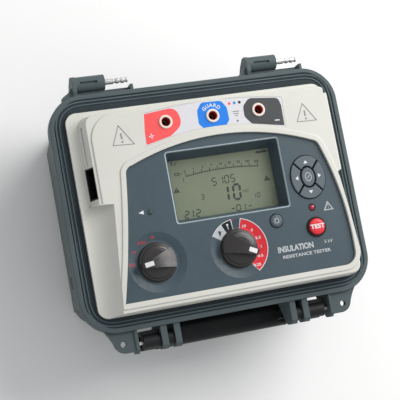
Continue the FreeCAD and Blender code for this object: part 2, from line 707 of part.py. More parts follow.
def fascia_plate(name, bottom, thickness, offset):
    """A plate on the control area's outline, grown or shrunk by an offset."""
    body = new_body(name + "_outline")
    sketch = new_sketch(body, name + "_sketch")
    draw_arched(sketch, fascia_corners())
    outline = sketch
    if offset is not None:
        outline = doc.addObject("Part::Offset2D", name + "_offset")
        outline.Source = sketch
        outline.Join = 0
        bind(outline, "Value", offset)
    item = doc.addObject("Part::Extrusion", name)
    item.Base = outline
    item.DirMode = "Custom"
    item.Dir = FreeCAD.Vector(0, 0, 1)
    item.Solid = True
    bind(item, "LengthFwd", thickness)
    return place(item, 0, 0, bottom)


def platform_body():
    """The raised block of the panel moulding, with drafted walls."""
    body = new_body("platform")
    lower = new_sketch(body, "platform_foot", height=S.flange_top - 0.5, x=5.65, y=-4.4)
    draw_rounded_rectangle(lower, 265.3, 201.2, S.flange_corner)
    upper = new_sketch(body, "platform_head", height=S.platform_top, x=7.9, y=-4.25)
    draw_rounded_rectangle(upper, 258.8, 198.5, S.flange_corner - 1)
    loft(body, lower, upper)
    return body


def bezel_cavities():
    """Hollows under the panel moulding: the main one, one behind the terminals and one behind the mains inlet."""
    main = rounded_slab("cavity_main", 239, 194, 8, S.skirt_bottom - 1, S.ledge_bottom - S.skirt_bottom + 1,
                        11, -4.5)
    terminals = span("cavity_terminals", (-112, 66, S.skirt_bottom), (126, 90, S.platform_top - 2.6))
    inlet = span("cavity_inlet", (-116, 9, S.skirt_bottom), (-98, 88, S.platform_top - 2.6))
    skirt = rounded_slab("cavity_skirt", S.flange_width - 5.6, S.flange_depth - 5.6, S.flange_corner - 2.8,
                         S.skirt_bottom - 1, S.flange_top - S.flange_skin - S.skirt_bottom + 1, 0, S.flange_y)
    beside_recess = span("skirt_beside_recess", (130.5, -84, 100), (150, 12, 130))
    return [main, terminals, inlet, cut("cavity_skirt_open", skirt, beside_recess)]


def panel_bezel():
    flange = rounded_slab("flange", S.flange_width, S.flange_depth, S.flange_corner, S.skirt_bottom,
                          S.flange_top - S.skirt_bottom, 0, S.flange_y)
    corner_block = new_body("corner_prism")
    block_foot = new_sketch(corner_block, "corner_foot", height=S.flange_top - 1, y=S.flange_y)
    draw_rounded_rectangle(block_foot, S.flange_width, S.flange_depth, S.flange_corner)
    block_head = new_sketch(corner_block, "corner_head", height=S.hood_top, y=S.flange_y + 1)
    draw_rounded_rectangle(block_head, S.flange_width, S.flange_depth - 2, S.flange_corner)
    loft(corner_block, block_foot, block_head)
    sweep_zone = span("sweep_zone", (-140, -110, S.flange_top - 2), (-104, S.sweep_end_y, S.hood_top))
    sweep_block = common("sweep_block", corner_block, sweep_zone)
    hood = rounded_slab("hood", 255.3, 197.5, (4, 9, 9, 27), S.platform_top - 1, S.hood_top - S.platform_top + 1,
                        9.15, -4.25)
    hood = rounded("hood_soft", hood, 1.0, lambda e: outline_edge(e, S.hood_top.value))
    frame = fascia_plate("frame", S.platform_top, S.frame_top - S.platform_top, S.frame_width)
    frame = rounded("frame_soft", frame, 0.7, lambda e: outline_edge(e, S.frame_top.value))
    solid = fuse("bezel_solid", flange, platform_body(), sweep_block, hood, frame)
    sweep = rod("sweep", S.sweep_radius, 140, -141.9, -133.5, S.flange_top + S.sweep_radius, (1, 0, 0), -90)
    direction = FreeCAD.Vector(10, 113, 0)
    lay = FreeCAD.Rotation(FreeCAD.Vector(0, 0, 1), direction)
    sweep.Placement = FreeCAD.Placement(sweep.Placement.Base, lay)
    below_block = span("sweep_limit", (-200, -200, 100), (0, S.sweep_end_y, 200))
    sweep_cut = common("sweep_cut", sweep, below_block)
    fascia_pocket = fascia_plate("fascia_pocket", S.fascia_top - S.fascia_thickness, 12, None)
    fascia_opening = fascia_plate("fascia_opening", S.skirt_bottom, 24, -S.ledge_width)
    shaped = cut("bezel_shaped", solid, sweep_cut)
    cuts = [fascia_pocket, fascia_opening, *bezel_cavities(), finger_recess(), corner_notch(), overlay_pocket(),
            inlet_opening()]
    for n, x in enumerate(terminal_places()):
        cuts.append(rod(f"terminal_hole_{n}", S.collar_stem, 40, x, S.terminal_y, S.skirt_bottom))
    for n, (sx, sy) in enumerate((a, b) for a in (-1, 1) for b in (-1, 1)):
        cuts.append(rod(f"boss_bore_{n}", S.screw_radius, 12, S.column_x * sx, S.column_y * sy, S.column_top))
    bosses = []
    for n, (sx, sy) in enumerate((a, b) for a in (-1, 1) for b in (-1, 1)):
        height = S.flange_top - S.column_top - 1
        bosses.append(rod(f"boss_{n}", 5, height, S.column_x * sx, S.column_y * sy, S.column_top))
        if sx > 0:
            y = S.column_y * sy
            bosses.append(span(f"boss_web_{n}", (S.column_x, y - 2, S.skirt_bottom), (137, y + 2, 124)))
    hollow = cut("bezel_hollow", shaped, *cuts[:-4])
    whole = cut("bezel_whole", fuse("bezel_with_bosses", hollow, *bosses), *cuts[-4:])
    finished("panel_bezel", whole)


def finger_recess():
    """A wedge cut into the right wall, where the panel is lifted out."""
    outline = [(132.3, 3), (136.6, 5), (138.8, 9), (146, 9), (146, -78), (139.3, -78), (136.2, -36)]
    return slab("finger_recess", lambda k: draw_polygon(k, outline), S.skirt_bottom - 1, 30)


def corner_notch():
    return span("corner_notch", (133.5, 87, S.flange_top + 3), (142, 94, S.frame_top))


def overlay_corners(inset=0.0):
    """The printed strip's outline: slanted ends, an arched top and an arched lower edge."""
    return [
        (-66 + inset, 55.8 + inset, -(S.fascia_arch_radius + 9.5)),
        (84.5 - inset, 57.2 + inset, 0),
        (86.5 - inset, 88.3 - inset, 500),
        (-61.5 + inset, 89.6 - inset, 0),
    ]


def overlay_pocket():
    return slab("overlay_pocket", lambda k: draw_arched(k, overlay_corners()), S.hood_top - S.overlay_depth, 4)


def inlet_frame(name, length, height, depth, outwards):
    """A box on the inlet's tilted axes, whose mouth stands outwards of the block's left wall by a distance."""
    item = doc.addObject("Part::Box", name)
    bind(item, "Length", depth)
    bind(item, "Width", length)
    bind(item, "Height", height)
    turn = FreeCAD.Rotation(FreeCAD.Vector(0, 1, 0), S.inlet_tilt.value)
    corner = turn.multVec(FreeCAD.Vector(-outwards, -as_size(length).value / 2, -as_size(height).value / 2))
    base = FreeCAD.Vector(S.inlet_x.value, S.inlet_y.value, S.inlet_z.value) + corner
    item.Placement = FreeCAD.Placement(base, turn)
    item.setExpression(".Placement.Base.y", (S.inlet_y - as_size(length) / 2).text)
    return item


def inlet_opening():
    return inlet_frame("inlet_opening", S.inlet_length, S.inlet_height, S.inlet_depth + 8, 8)


def terminal_places():
    return [S.terminal_x - S.terminal_pitch, S.terminal_x, S.terminal_x + S.terminal_pitch]


# ---------------------------------------------------------------- control fascia and display
def display_tub():
    """The sloped walls of the display recess and the foot that the window sits under."""
    body = new_body("tub")
    wall = S.tub_wall * 2
    lower = new_sketch(body, "tub_outer_foot", height=S.tub_floor, x=S.tub_floor_x, y=S.tub_floor_y)
    draw_rounded_rectangle(lower, S.tub_floor_width + wall, S.tub_floor_depth + wall, S.tub_corner)
    upper = new_sketch(body, "tub_outer_head", height=S.fascia_top - 1, x=S.tub_top_x, y=S.tub_top_y)
    draw_rounded_rectangle(upper, S.tub_top_width + wall, S.tub_top_depth + wall, S.tub_corner + 2)
    loft(body, lower, upper)
    foot = new_sketch(body, "tub_foot", height=S.tub_floor, x=S.tub_floor_x, y=S.tub_floor_y)
    margin = S.window_margin * 2
    draw_rounded_rectangle(foot, S.tub_floor_width + margin, S.tub_floor_depth + margin, S.tub_corner)
    pad(body, foot, 1.2)
    return body


def tub_hollow():
    body = new_body("tub_inside")
    lower = new_sketch(body, "tub_inner_foot", height=S.tub_floor - 0.5, x=S.tub_floor_x, y=S.tub_floor_y)
    draw_rounded_rectangle(lower, S.tub_floor_width, S.tub_floor_depth, 1)
    upper = new_sketch(body, "tub_inner_head", height=S.fascia_top, x=S.tub_top_x, y=S.tub_top_y)
    draw_rounded_rectangle(upper, S.tub_top_width, S.tub_top_depth, S.tub_corner)
    loft(body, lower, upper)
    return body


def tub_chamfer():
    """The slanted edge all round the top of the display recess."""
    body = new_body("tub_chamfer_body")
    wide = S.tub_chamfer * 2
    lower = new_sketch(body, "chamfer_foot", height=S.fascia_top - S.tub_chamfer, x=S.tub_top_x, y=S.tub_top_y)
    draw_rounded_rectangle(lower, S.tub_top_width - 0.6, S.tub_top_depth - 0.6, S.tub_corner)
    upper = new_sketch(body, "chamfer_head", height=S.fascia_top, x=S.tub_top_x, y=S.tub_top_y)
    draw_rounded_rectangle(upper, S.tub_top_width + wide, S.tub_top_depth + wide, S.tub_corner + S.tub_chamfer)
    loft(body, lower, upper)
    return body


def knob_dish(name, x):
    """A shallow dish in the fascia's face and the hole for the switch's bushing."""
    dish = doc.addObject("Part::Cone", name)
    bind(dish, "Radius1", S.dish_floor_radius)
    bind(dish, "Radius2", S.dish_radius)
    bind(dish, "Height", S.dish_depth)
    place(dish, x, S.knob_y, S.fascia_top - S.dish_depth)
    bore = rod(name + "_bore", S.bushing_radius + 0.1, 10, x, S.knob_y, S.fascia_top - 8)
    return [dish, bore]


def control_fascia():
    bottom = S.fascia_top - S.fascia_thickness
    plate = fascia_plate("fascia_plate", bottom, S.fascia_thickness, -S.fascia_gap)
    solid = fuse("fascia_solid", plate, display_tub())
    cuts = [tub_hollow(), tub_chamfer()]
    cuts += knob_dish("mode_dish", S.mode_x) + knob_dish("function_dish", S.function_x)
    hole = S.fascia_thickness + 2
    cuts.append(ellipse_prism("pad_hole", S.pad_half_width + 0.9, S.pad_half_height + 0.9, S.pad_x, S.pad_y,
                              bottom - 1, hole))
    for name, radius, x, y in (
        ("backlight_hole", S.backlight_radius + 0.8, S.backlight_x, S.backlight_y),
        ("test_hole", S.test_ring_radius - 0.8, S.test_x, S.test_y),
        ("led_hole", S.led_radius + 0.05, S.led_x, S.led_y),
        ("status_hole", S.led_radius + 0.05, S.status_x, S.status_y),
    ):
        cuts.append(rod(name, radius, hole, x, y, bottom - 1))
    finished("control_fascia", cut("fascia_whole", solid, *cuts))


def display_stack():
    """Window, LCD panel and backlight, one under another below the tub."""
    width = S.tub_floor_width + S.window_margin * 2 - 1
    depth = S.tub_floor_depth + S.window_margin * 2 - 1
    x, y = S.tub_floor_x, S.tub_floor_y
    top = S.tub_floor - S.window_thickness
    finished("display_window", rounded_slab("window", width, depth, 1.5, top, S.window_thickness, x, y))
    top = top - S.lcd_thickness
    finished("lcd_panel", rounded_slab("lcd", width - 1, depth - 1, 0.8, top, S.lcd_thickness, x, y))
    top = top - S.backlight_thickness
    finished("lcd_backlight", rounded_slab("backlight_box", width - 1, depth - 1, 0.8, top,
                                           S.backlight_thickness, x, y))


# ---------------------------------------------------------------- terminals
def terminal_overlay():
    strip = slab("overlay_strip", lambda k: draw_arched(k, overlay_corners(0.15)), S.hood_top - S.overlay_depth,
                 S.overlay_thickness)
    holes = [rod(f"overlay_hole_{n}", S.collar_stem + 0.1, 6, x, S.terminal_y, S.hood_top - 3)
             for n, x in enumerate(terminal_places())]
    finished("terminal_overlay", cut("overlay_whole", strip, *holes))


def terminals():
    """Each terminal: pale collar, red insulating sleeve and brass contact; one nut behind each collar."""
    seat = S.hood_top - S.overlay_depth + S.overlay_thickness
    top = seat + S.collar_height
    under = S.platform_top - 2.6
    nuts = []
    for name, x in zip(("positive", "guard", "negative"), terminal_places()):
        collar = [
            (S.sleeve_radius, S.socket_floor - 3), (S.collar_stem, S.socket_floor - 3), (S.collar_stem, seat),
            (S.collar_radius, seat), (S.collar_radius, top - 0.6), (S.collar_radius - 0.6, top),
            (S.sleeve_radius + 0.3, top), (S.sleeve_radius, top - 0.4),
        ]
        finished(f"terminal_collar_{name}", turned(f"collar_{name}", collar, x, S.terminal_y))
        sleeve = [
            (S.contact_radius, S.socket_floor - 3), (S.sleeve_radius, S.socket_floor - 3),
            (S.sleeve_radius, top - 1), (S.sleeve_bore, top - 1), (S.sleeve_bore, S.socket_floor),
            (S.contact_radius, S.socket_floor),
        ]
        finished(f"terminal_sleeve_{name}", turned(f"sleeve_{name}", sleeve, x, S.terminal_y))
        contact = [
            (0, S.socket_floor - 9), (S.contact_radius, S.socket_floor - 9), (S.contact_radius, S.contact_top),
            (S.contact_bore, S.contact_top), (S.contact_bore, S.socket_floor), (0, S.socket_floor),
        ]
        finished(f"terminal_contact_{name}", turned(f"contact_{name}", contact, x, S.terminal_y))
        ring = [
            (S.collar_stem, under - S.nut_height), (S.nut_radius, under - S.nut_height),
            (S.nut_radius, under), (S.collar_stem, under),
        ]
        nuts.append(turned(f"nut_{name}", ring, x, S.terminal_y))
    finished("terminal_nuts", fuse("nut_group", *nuts))


# ---------------------------------------------------------------- rotary switches and knobs
def grip_bar(name):
    """The knob's raised bar, in the knob's own frame: narrow at the pointer end on +Y, flared at the other
    end, with a crest that falls in an arc towards the flare."""
    reach, tip = S.knob_radius - 0.4, S.pointer_width / 2 + 0.5
    plan = [
        (-tip, reach, -400), (-S.flare_width / 2, -reach, 0), (S.flare_width / 2, -reach, -400), (tip, reach, 0),
    ]
    plate = slab(name + "_plan", lambda k: draw_arched(k, plan), 2.4, S.knob_height)
    side = new_body(name + "_side")
    sketch = new_sketch(side, name + "_side_outline", "YZ_Plane")
    crest = S.knob_height
    draw_arched(sketch, [
        (-22, 2, 0), (22, 2, 0), (22, crest - 6, 0), (16, crest - 1, 0), (7, crest, 60), (-22, 3.6, 0),
    ])
    pad(side, sketch, 60, both_ways=True)
    disc = rod(name + "_disc", reach, S.knob_height + 1, 0, 0, 2)
    return common(name, common(name + "_crested", plate, side), disc)


def knob(label, x, angle, seat):
    """A knob with a flat base ring, a low dome and a raised bar, and the white insert near the bar's tip."""
    radius = S.knob_radius
    dome = turned(f"{label}_dome", [
        (0, 0), (radius - 0.5, 0), (radius, 0.5), (radius, 2.6), (radius - 0.8, 3.2), (radius - 2.0, 3.4),
        (radius - 2.8, 4.6), (radius - 4.4, 5.4), (radius - 7.4, 5.9), (0, 6.3),
    ])
    bar = grip_bar(f"{label}_bar")
    solid = fuse(f"{label}_solid", dome, bar)
    nut_room = rod(f"{label}_nut_room", S.switch_nut_radius + 0.8, 5, 0, 0, -1)
    bore = rod(f"{label}_bore", S.shaft_radius, S.knob_bore, 0, 0, 0)
    block = span(f"{label}_insert_block", (-S.pointer_width / 2, 6.8, S.knob_height - 4.5),
                 (S.pointer_width / 2, 15.6, S.knob_height + 1))
    whole = cut(f"{label}_whole", cut(f"{label}_hollow", solid, nut_room, bore), block)
    place(whole, x, S.knob_y, seat, (0, 0, 1), angle)
    finished(f"{label}_knob", whole)
    insert = common(f"{label}_insert", bar, block)
    moved = fuse(f"{label}_insert_moved", insert, rod(f"{label}_insert_peg", 0.8, 1, 0, 11.5, S.knob_height - 4.5))
    place(moved, x, S.knob_y, seat, (0, 0, 1), angle)
    finished(f"{label}_pointer", moved)


def rotary_switch(label, x, angle):
    """Switch body with its bushing, the nut on the fascia and the turning shaft."""
    dish_floor = S.fascia_top - S.dish_depth
    seat = dish_floor + S.knob_gap
    knob(label, x, angle, seat)
    bore = S.shaft_radius + S.shaft_clearance
    bushing_top = dish_floor + 3.4
    body = [
        (bore, S.board_top + 3), (0, S.board_top + 3), (0, S.board_top), (S.switch_radius, S.board_top),
        (S.switch_radius, S.switch_top), (S.bushing_radius, S.switch_top), (S.bushing_radius, bushing_top),
        (bore, bushing_top),
    ]
    finished(f"{label}_switch", turned(f"{label}_switch_body", body, x, S.knob_y))
    finished(f"{label}_shaft", rod(f"{label}_shaft_rod", S.shaft_radius, seat + S.knob_bore - S.board_top - 3.5, x,
                                   S.knob_y, S.board_top + 3.5))
    nut = doc.addObject("Part::Prism", f"{label}_nut_hex")
    nut.Polygon = 6
    bind(nut, "Circumradius", S.switch_nut_radius)
    bind(nut, "Height", 2.4)
    place(nut, x, S.knob_y, dish_floor)
    hole = rod(f"{label}_nut_hole", S.bushing_radius, 4, x, S.knob_y, dish_floor - 1)
    finished(f"{label}_switch_nut", cut(f"{label}_nut_whole", nut, hole))


# ---------------------------------------------------------------- keys and buttons
def domed(name, base, edge_height):
    """Softens the top edges of a key."""
    return rounded(name, base, 0.6, lambda e: outline_edge(e, edge_height.value))


def navigation_keys():
    """Four sector keys around an elliptical enter key, all cut from one elliptical outline."""
    rise = S.fascia_top - S.key_bottom + S.key_rise
    top = S.key_bottom + rise
    ring_inner_x, ring_inner_y = S.enter_half_width + S.key_gap, S.enter_half_height + S.key_gap
    reach = 60
    mirrors = {"right": ("left", (1, 0, 0)), "up": ("down", (0, 1, 0))}
    for name, start in (("right", -50), ("up", 50)):
        outer = ellipse_prism(f"key_{name}_outer", S.pad_half_width, S.pad_half_height, S.pad_x, S.pad_y,
                              S.key_bottom, rise)
        inner = ellipse_prism(f"key_{name}_inner", ring_inner_x, ring_inner_y, S.pad_x, S.pad_y,
                              S.key_bottom - 1, rise + 2)
        ring = cut(f"key_{name}_ring", outer, inner)
        sweep = 100 if name == "right" else 80
        a, b = math.radians(start), math.radians(start + sweep)
        middle = (a + b) / 2
        shift = S.key_gap.value / 2 / math.sin((b - a) / 2)
        tip = (math.cos(middle) * shift, math.sin(middle) * shift)
        wedge_points = [tip] + [(tip[0] + reach * math.cos(t), tip[1] + reach * math.sin(t)) for t in (a, middle, b)]
        draw = lambda k, p=wedge_points: draw_polygon(k, p)
        wedge = slab(f"key_{name}_wedge", draw, S.key_bottom - 1, rise + 2, S.pad_x, S.pad_y)
        key = domed(f"key_{name}_soft", common(f"key_{name}_sector", ring, wedge), top)
        finished(f"key_{name}", key)
        twin, normal = mirrors[name]
        finished(f"key_{twin}", mirrored(f"key_{twin}_twin", key, (S.pad_x, S.pad_y), normal))
    enter = ellipse_prism("key_enter_prism", S.enter_half_width, S.enter_half_height, S.pad_x, S.pad_y,
                          S.key_bottom, rise + 0.4)
    finished("key_enter", domed("key_enter_soft", enter, top + 0.4))


def round_buttons():
    face = S.fascia_top
    low = S.key_bottom
    radius = S.backlight_radius
    finished("backlight_button", turned("backlight_cap", [
        (0, low), (radius, low), (radius, face + 0.6), (radius - 0.8, face + 1.2), (radius - 2.6, face + 1.5),
        (0, face + 1.6),
    ], S.backlight_x, S.backlight_y))
    ring = S.test_ring_radius
    finished("test_button_ring", turned("test_ring", [
        (ring - 1.6, face - 3.2), (ring - 0.8, face - 3.2), (ring - 0.8, face), (ring, face), (ring, face + 1.2),
        (ring - 0.5, face + 1.8), (ring - 1.3, face + 1.8), (ring - 1.6, face + 1.4),
    ], S.test_x, S.test_y))
    radius = S.test_radius
    finished("test_button", turned("test_cap", [
        (0, low + 0.8), (radius, low + 0.8), (radius, face + 2.6), (radius - 0.9, face + 3.5),
        (radius - 3.2, face + 3.9), (0, face + 4.0),
    ], S.test_x, S.test_y))


def keypad_outline(sketch):
    draw_polygon(sketch, [
        (46, -64), (122, -64), (122, -28), (119, 2), (113, 26), (108, 28), (78.5, 28), (78.5, -28.5),
        (46, -28.5),
    ])


def keypad():
    mat = slab("mat_plate", keypad_outline, S.mat_bottom, S.mat_top - S.mat_bottom)
    holes = [rod("mat_led_hole", S.led_radius + 0.3, 6, S.led_x, S.led_y, S.mat_bottom - 1)]
    wells = []
    for n, (x, y) in enumerate(((S.pad_x, S.pad_y), (S.test_x, S.test_y), (S.backlight_x, S.backlight_y))):
        wells.append(rod(f"mat_well_{n}", 4, 1.2, x, y, S.mat_bottom - 0.2))
    finished("keypad_mat", cut("mat_whole", mat, *holes, *wells))
    board = slab("keypad_board_plate", keypad_outline, S.keypad_board_bottom, S.board_thickness)
    switches = [board]
    places = [(S.pad_x, S.pad_y), (S.pad_x, S.pad_y + 15), (S.pad_x, S.pad_y - 15), (S.pad_x + 13, S.pad_y),
              (S.pad_x - 13, S.pad_y), (S.test_x, S.test_y), (S.backlight_x, S.backlight_y)]
    top = S.keypad_board_bottom + S.board_thickness
    for n, (x, y) in enumerate(places):
        switches.append(box(f"tact_{n}", 6, 6, 2.2, x, y, top))
    finished("keypad_board", fuse("keypad_board_whole", *switches))


def lamps():
    face, low = S.fascia_top, S.keypad_board_bottom + S.board_thickness
    radius = S.led_radius
    for label, x, y, foot in (("warning_led", S.led_x, S.led_y, low), ("status_led", S.status_x, S.status_y,
                                                                        S.fascia_top - 6)):
        finished(label, turned(label + "_lens", [
            (0, foot), (radius, foot), (radius, face + 0.1), (radius - 0.5, face + 0.7), (0, face + 1.0),
        ], x, y))


# ---------------------------------------------------------------- mains inlet
def mains_inlet():
    outer = inlet_frame("inlet_block", S.inlet_length, S.inlet_height, S.inlet_depth, 0)
    wall = S.inlet_wall * 2
    hole = inlet_frame("inlet_socket", S.inlet_length - wall, S.inlet_height - wall, S.inlet_socket_depth + 2, 2)
    finished("mains_inlet", cut("inlet_whole", outer, hole))
    pins = []
    turn = FreeCAD.Rotation(FreeCAD.Vector(0, 1, 0), S.inlet_tilt.value)
    centre = FreeCAD.Vector(S.inlet_x.value, S.inlet_y.value, S.inlet_z.value)
    for n, y in enumerate((-7, 7)):
        pin = doc.addObject("Part::Cylinder", f"inlet_pin_{n}")
        pin.Radius = 1.2
        pin.Height = 8
        start = turn.multVec(FreeCAD.Vector(S.inlet_socket_depth.value - 8, y, 0))
        pin.Placement = FreeCAD.Placement(centre + start, turn.multiply(FreeCAD.Rotation(0, 90, 0)))
        pins.append(pin)
    finished("inlet_pins", fuse("inlet_pin_group", *pins))


# ---------------------------------------------------------------- inside
# the centres of the six posts that the main board hangs from
BOARD_POSTS = [(-95, -85), (-82, 22), (-30, -86), (42, -86), (111, -77), (100, 34.5)]


def circuit_boards():
    bottom = S.board_top - S.board_thickness
    plate = rounded_slab("main_board_plate", 215, 132, 4, bottom, S.board_thickness, 7.5, -26)
    chips = [plate]
    for n, (x, y, w, d, t) in enumerate(((-60, 10, 22, 22, 2.6), (-20, -45, 16, 10, 2), (45, -60, 14, 14, 2.2),
                                         (70, -80, 30, 8, 7), (-45, -34, 10, 20, 2.4), (90, 20, 18, 12, 3))):
        chips.append(box(f"chip_{n}", w, d, t, x, y, S.board_top))
    finished("main_board", fuse("main_board_whole", *chips))
    posts, screws = [], []
    fascia_bottom = S.fascia_top - S.fascia_thickness
    for n, (x, y) in enumerate(BOARD_POSTS):
        post = rod(f"post_{n}", S.post_radius, fascia_bottom - S.board_top, x, y, S.board_top)
        bore = rod(f"post_bore_{n}", S.post_screw_radius, 8, x, y, S.board_top)
        posts.append(cut(f"post_whole_{n}", post, bore))
        head = rod(f"post_screw_head_{n}", S.post_radius, 2, x, y, bottom - 2)
        shank = rod(f"post_screw_{n}", S.post_screw_radius, 9.6, x, y, bottom - 0.5)
        screws.append(fuse(f"post_screw_whole_{n}", head, shank))
    finished("board_standoffs", fuse("standoff_group", *posts))
    finished("board_screws", fuse("board_screw_group", *screws))
    holes = [rod(f"board_hole_{n}", S.post_screw_radius, 6, x, y, bottom - 2)
             for n, (x, y) in enumerate(BOARD_POSTS)]
    drilled = cut("main_board_drilled", FINISHED["main_board"], *holes)
    FINISHED["main_board"].Label = "main_board_undrilled"
    finished("main_board", drilled)


def power_parts():
    """Battery pack under its clamp, mains transformer and potted high voltage module, all on the case floor."""
    floor = S.foot_height + S.wall
    battery = box("battery_block", S.battery_width, S.battery_depth, S.battery_height, -11, 56, floor)
    terminals = [box(f"battery_tag_{n}", 5, 6, 4, x, 30, floor + S.battery_height) for n, x in enumerate((-90, 68))]
    finished("battery_pack", fuse("battery_whole", battery, *terminals))
    top = floor + S.battery_height
    outer = span("clamp_outer", (-22, 19, floor), (0, 93, top + 2))
    inner = span("clamp_inner", (-23, 23, floor - 1), (1, 89, top))
    finished("battery_clamp", cut("clamp_whole", outer, inner))
    core = box("transformer_core", 58, 46, 20, -78, -58, floor + 13)
    winding = box("transformer_winding", 38, 40, 46, -78, -58, floor)
    finished("mains_transformer", fuse("transformer_whole", core, winding))
    module = box("module_block", 92, 60, 44, 58, -56, floor)
    bushings = [rod(f"module_bushing_{n}", 5, 8, 58 + x, -56, floor + 43) for n, x in enumerate((-30, 0, 30))]
    finished("high_voltage_module", fuse("module_whole", module, *bushings))


def panel_screws():
    screws = []
    for n, (sx, sy) in enumerate((a, b) for a in (-1, 1) for b in (-1, 1)):
        x, y = S.column_x * sx, S.column_y * sy
        head_bottom = S.counterbore_top - S.screw_head_height
        head = rod(f"panel_screw_head_{n}", S.screw_head_radius, S.screw_head_height, x, y, head_bottom)
        shank = rod(f"panel_screw_shank_{n}", S.screw_radius, S.column_top + 11 - S.counterbore_top, x, y,
                    S.counterbore_top)
        screws.append(fuse(f"panel_screw_{n}", head, shank))
    finished("panel_screws", fuse("panel_screw_group", *screws))


# ---------------------------------------------------------------- build and write
case_base()
rim_seal()
rubber_feet()
hinge_pins()
group_of_pins("handle_pins", [handle_pin_span(-1), handle_pin_span(1)], S.handle_pin_radius)
group_of_pins("latch_pins", [latch_pin_span(-1), latch_pin_span(1)], S.latch_pin_radius)
carry_handle()
latch(-1)
latch(1)
panel_bezel()
control_fascia()
display_stack()
terminal_overlay()
terminals()
rotary_switch("mode", S.mode_x, S.mode_angle)
rotary_switch("function", S.function_x, S.function_angle)
navigation_keys()
round_buttons()
keypad()
lamps()
mains_inlet()
circuit_boards()
power_parts()
panel_screws()
doc.recompute()

broken = [o.Name for o in doc.Objects if "Invalid" in o.State or "Error" in o.State]
if broken:
    raise RuntimeError(f"these objects failed: {broken}")
for label, item in FINISHED.items():
    shape = item.Shape
    if shape.isNull() or not shape.isValid() or not shape.Solids:
        raise RuntimeError(f"{label} has no valid solid")
for label, item in FINISHED.items():
    item.Shape.exportStep(f"parts/{label}.step")
    print(f"{label}: {len(item.Shape.Solids)} solids, {item.Shape.Volume / 1000:.2f} cm3")
print(len(FINISHED), "sub-parts")
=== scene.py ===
"""Looks for a portable insulation resistance tester: materials, prints, display marks, camera and light."""

import json
import math

import bpy
from mathutils import Matrix, Vector


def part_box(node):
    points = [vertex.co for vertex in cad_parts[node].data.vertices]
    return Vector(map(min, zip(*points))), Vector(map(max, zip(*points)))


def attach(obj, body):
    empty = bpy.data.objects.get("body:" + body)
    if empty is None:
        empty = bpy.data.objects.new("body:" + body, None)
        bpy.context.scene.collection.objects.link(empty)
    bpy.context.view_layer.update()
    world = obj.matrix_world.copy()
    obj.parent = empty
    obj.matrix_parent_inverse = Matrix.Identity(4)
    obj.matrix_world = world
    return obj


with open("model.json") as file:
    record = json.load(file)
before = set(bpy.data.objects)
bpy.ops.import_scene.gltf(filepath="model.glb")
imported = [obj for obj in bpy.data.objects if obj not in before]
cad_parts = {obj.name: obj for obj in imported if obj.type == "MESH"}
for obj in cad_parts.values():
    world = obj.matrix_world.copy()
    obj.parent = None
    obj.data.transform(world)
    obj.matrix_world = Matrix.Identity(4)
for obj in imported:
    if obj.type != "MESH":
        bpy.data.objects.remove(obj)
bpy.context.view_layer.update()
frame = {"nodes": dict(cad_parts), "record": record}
scene = bpy.context.scene
MM = 0.001
SHARP_ANGLE = 32


# ---------------------------------------------------------------- colour and materials
def linear(red, green, blue):
    """A display colour from 0 to 255 as a linear colour."""
    values = []
    for value in (red, green, blue):
        share = value / 255
        values.append(share / 12.92 if share <= 0.04045 else ((share + 0.055) / 1.055) ** 2.4)
    return (*values, 1.0)


def scaled(colour, factor):
    return (*(min(1.0, c * factor) for c in colour[:3]), 1.0)


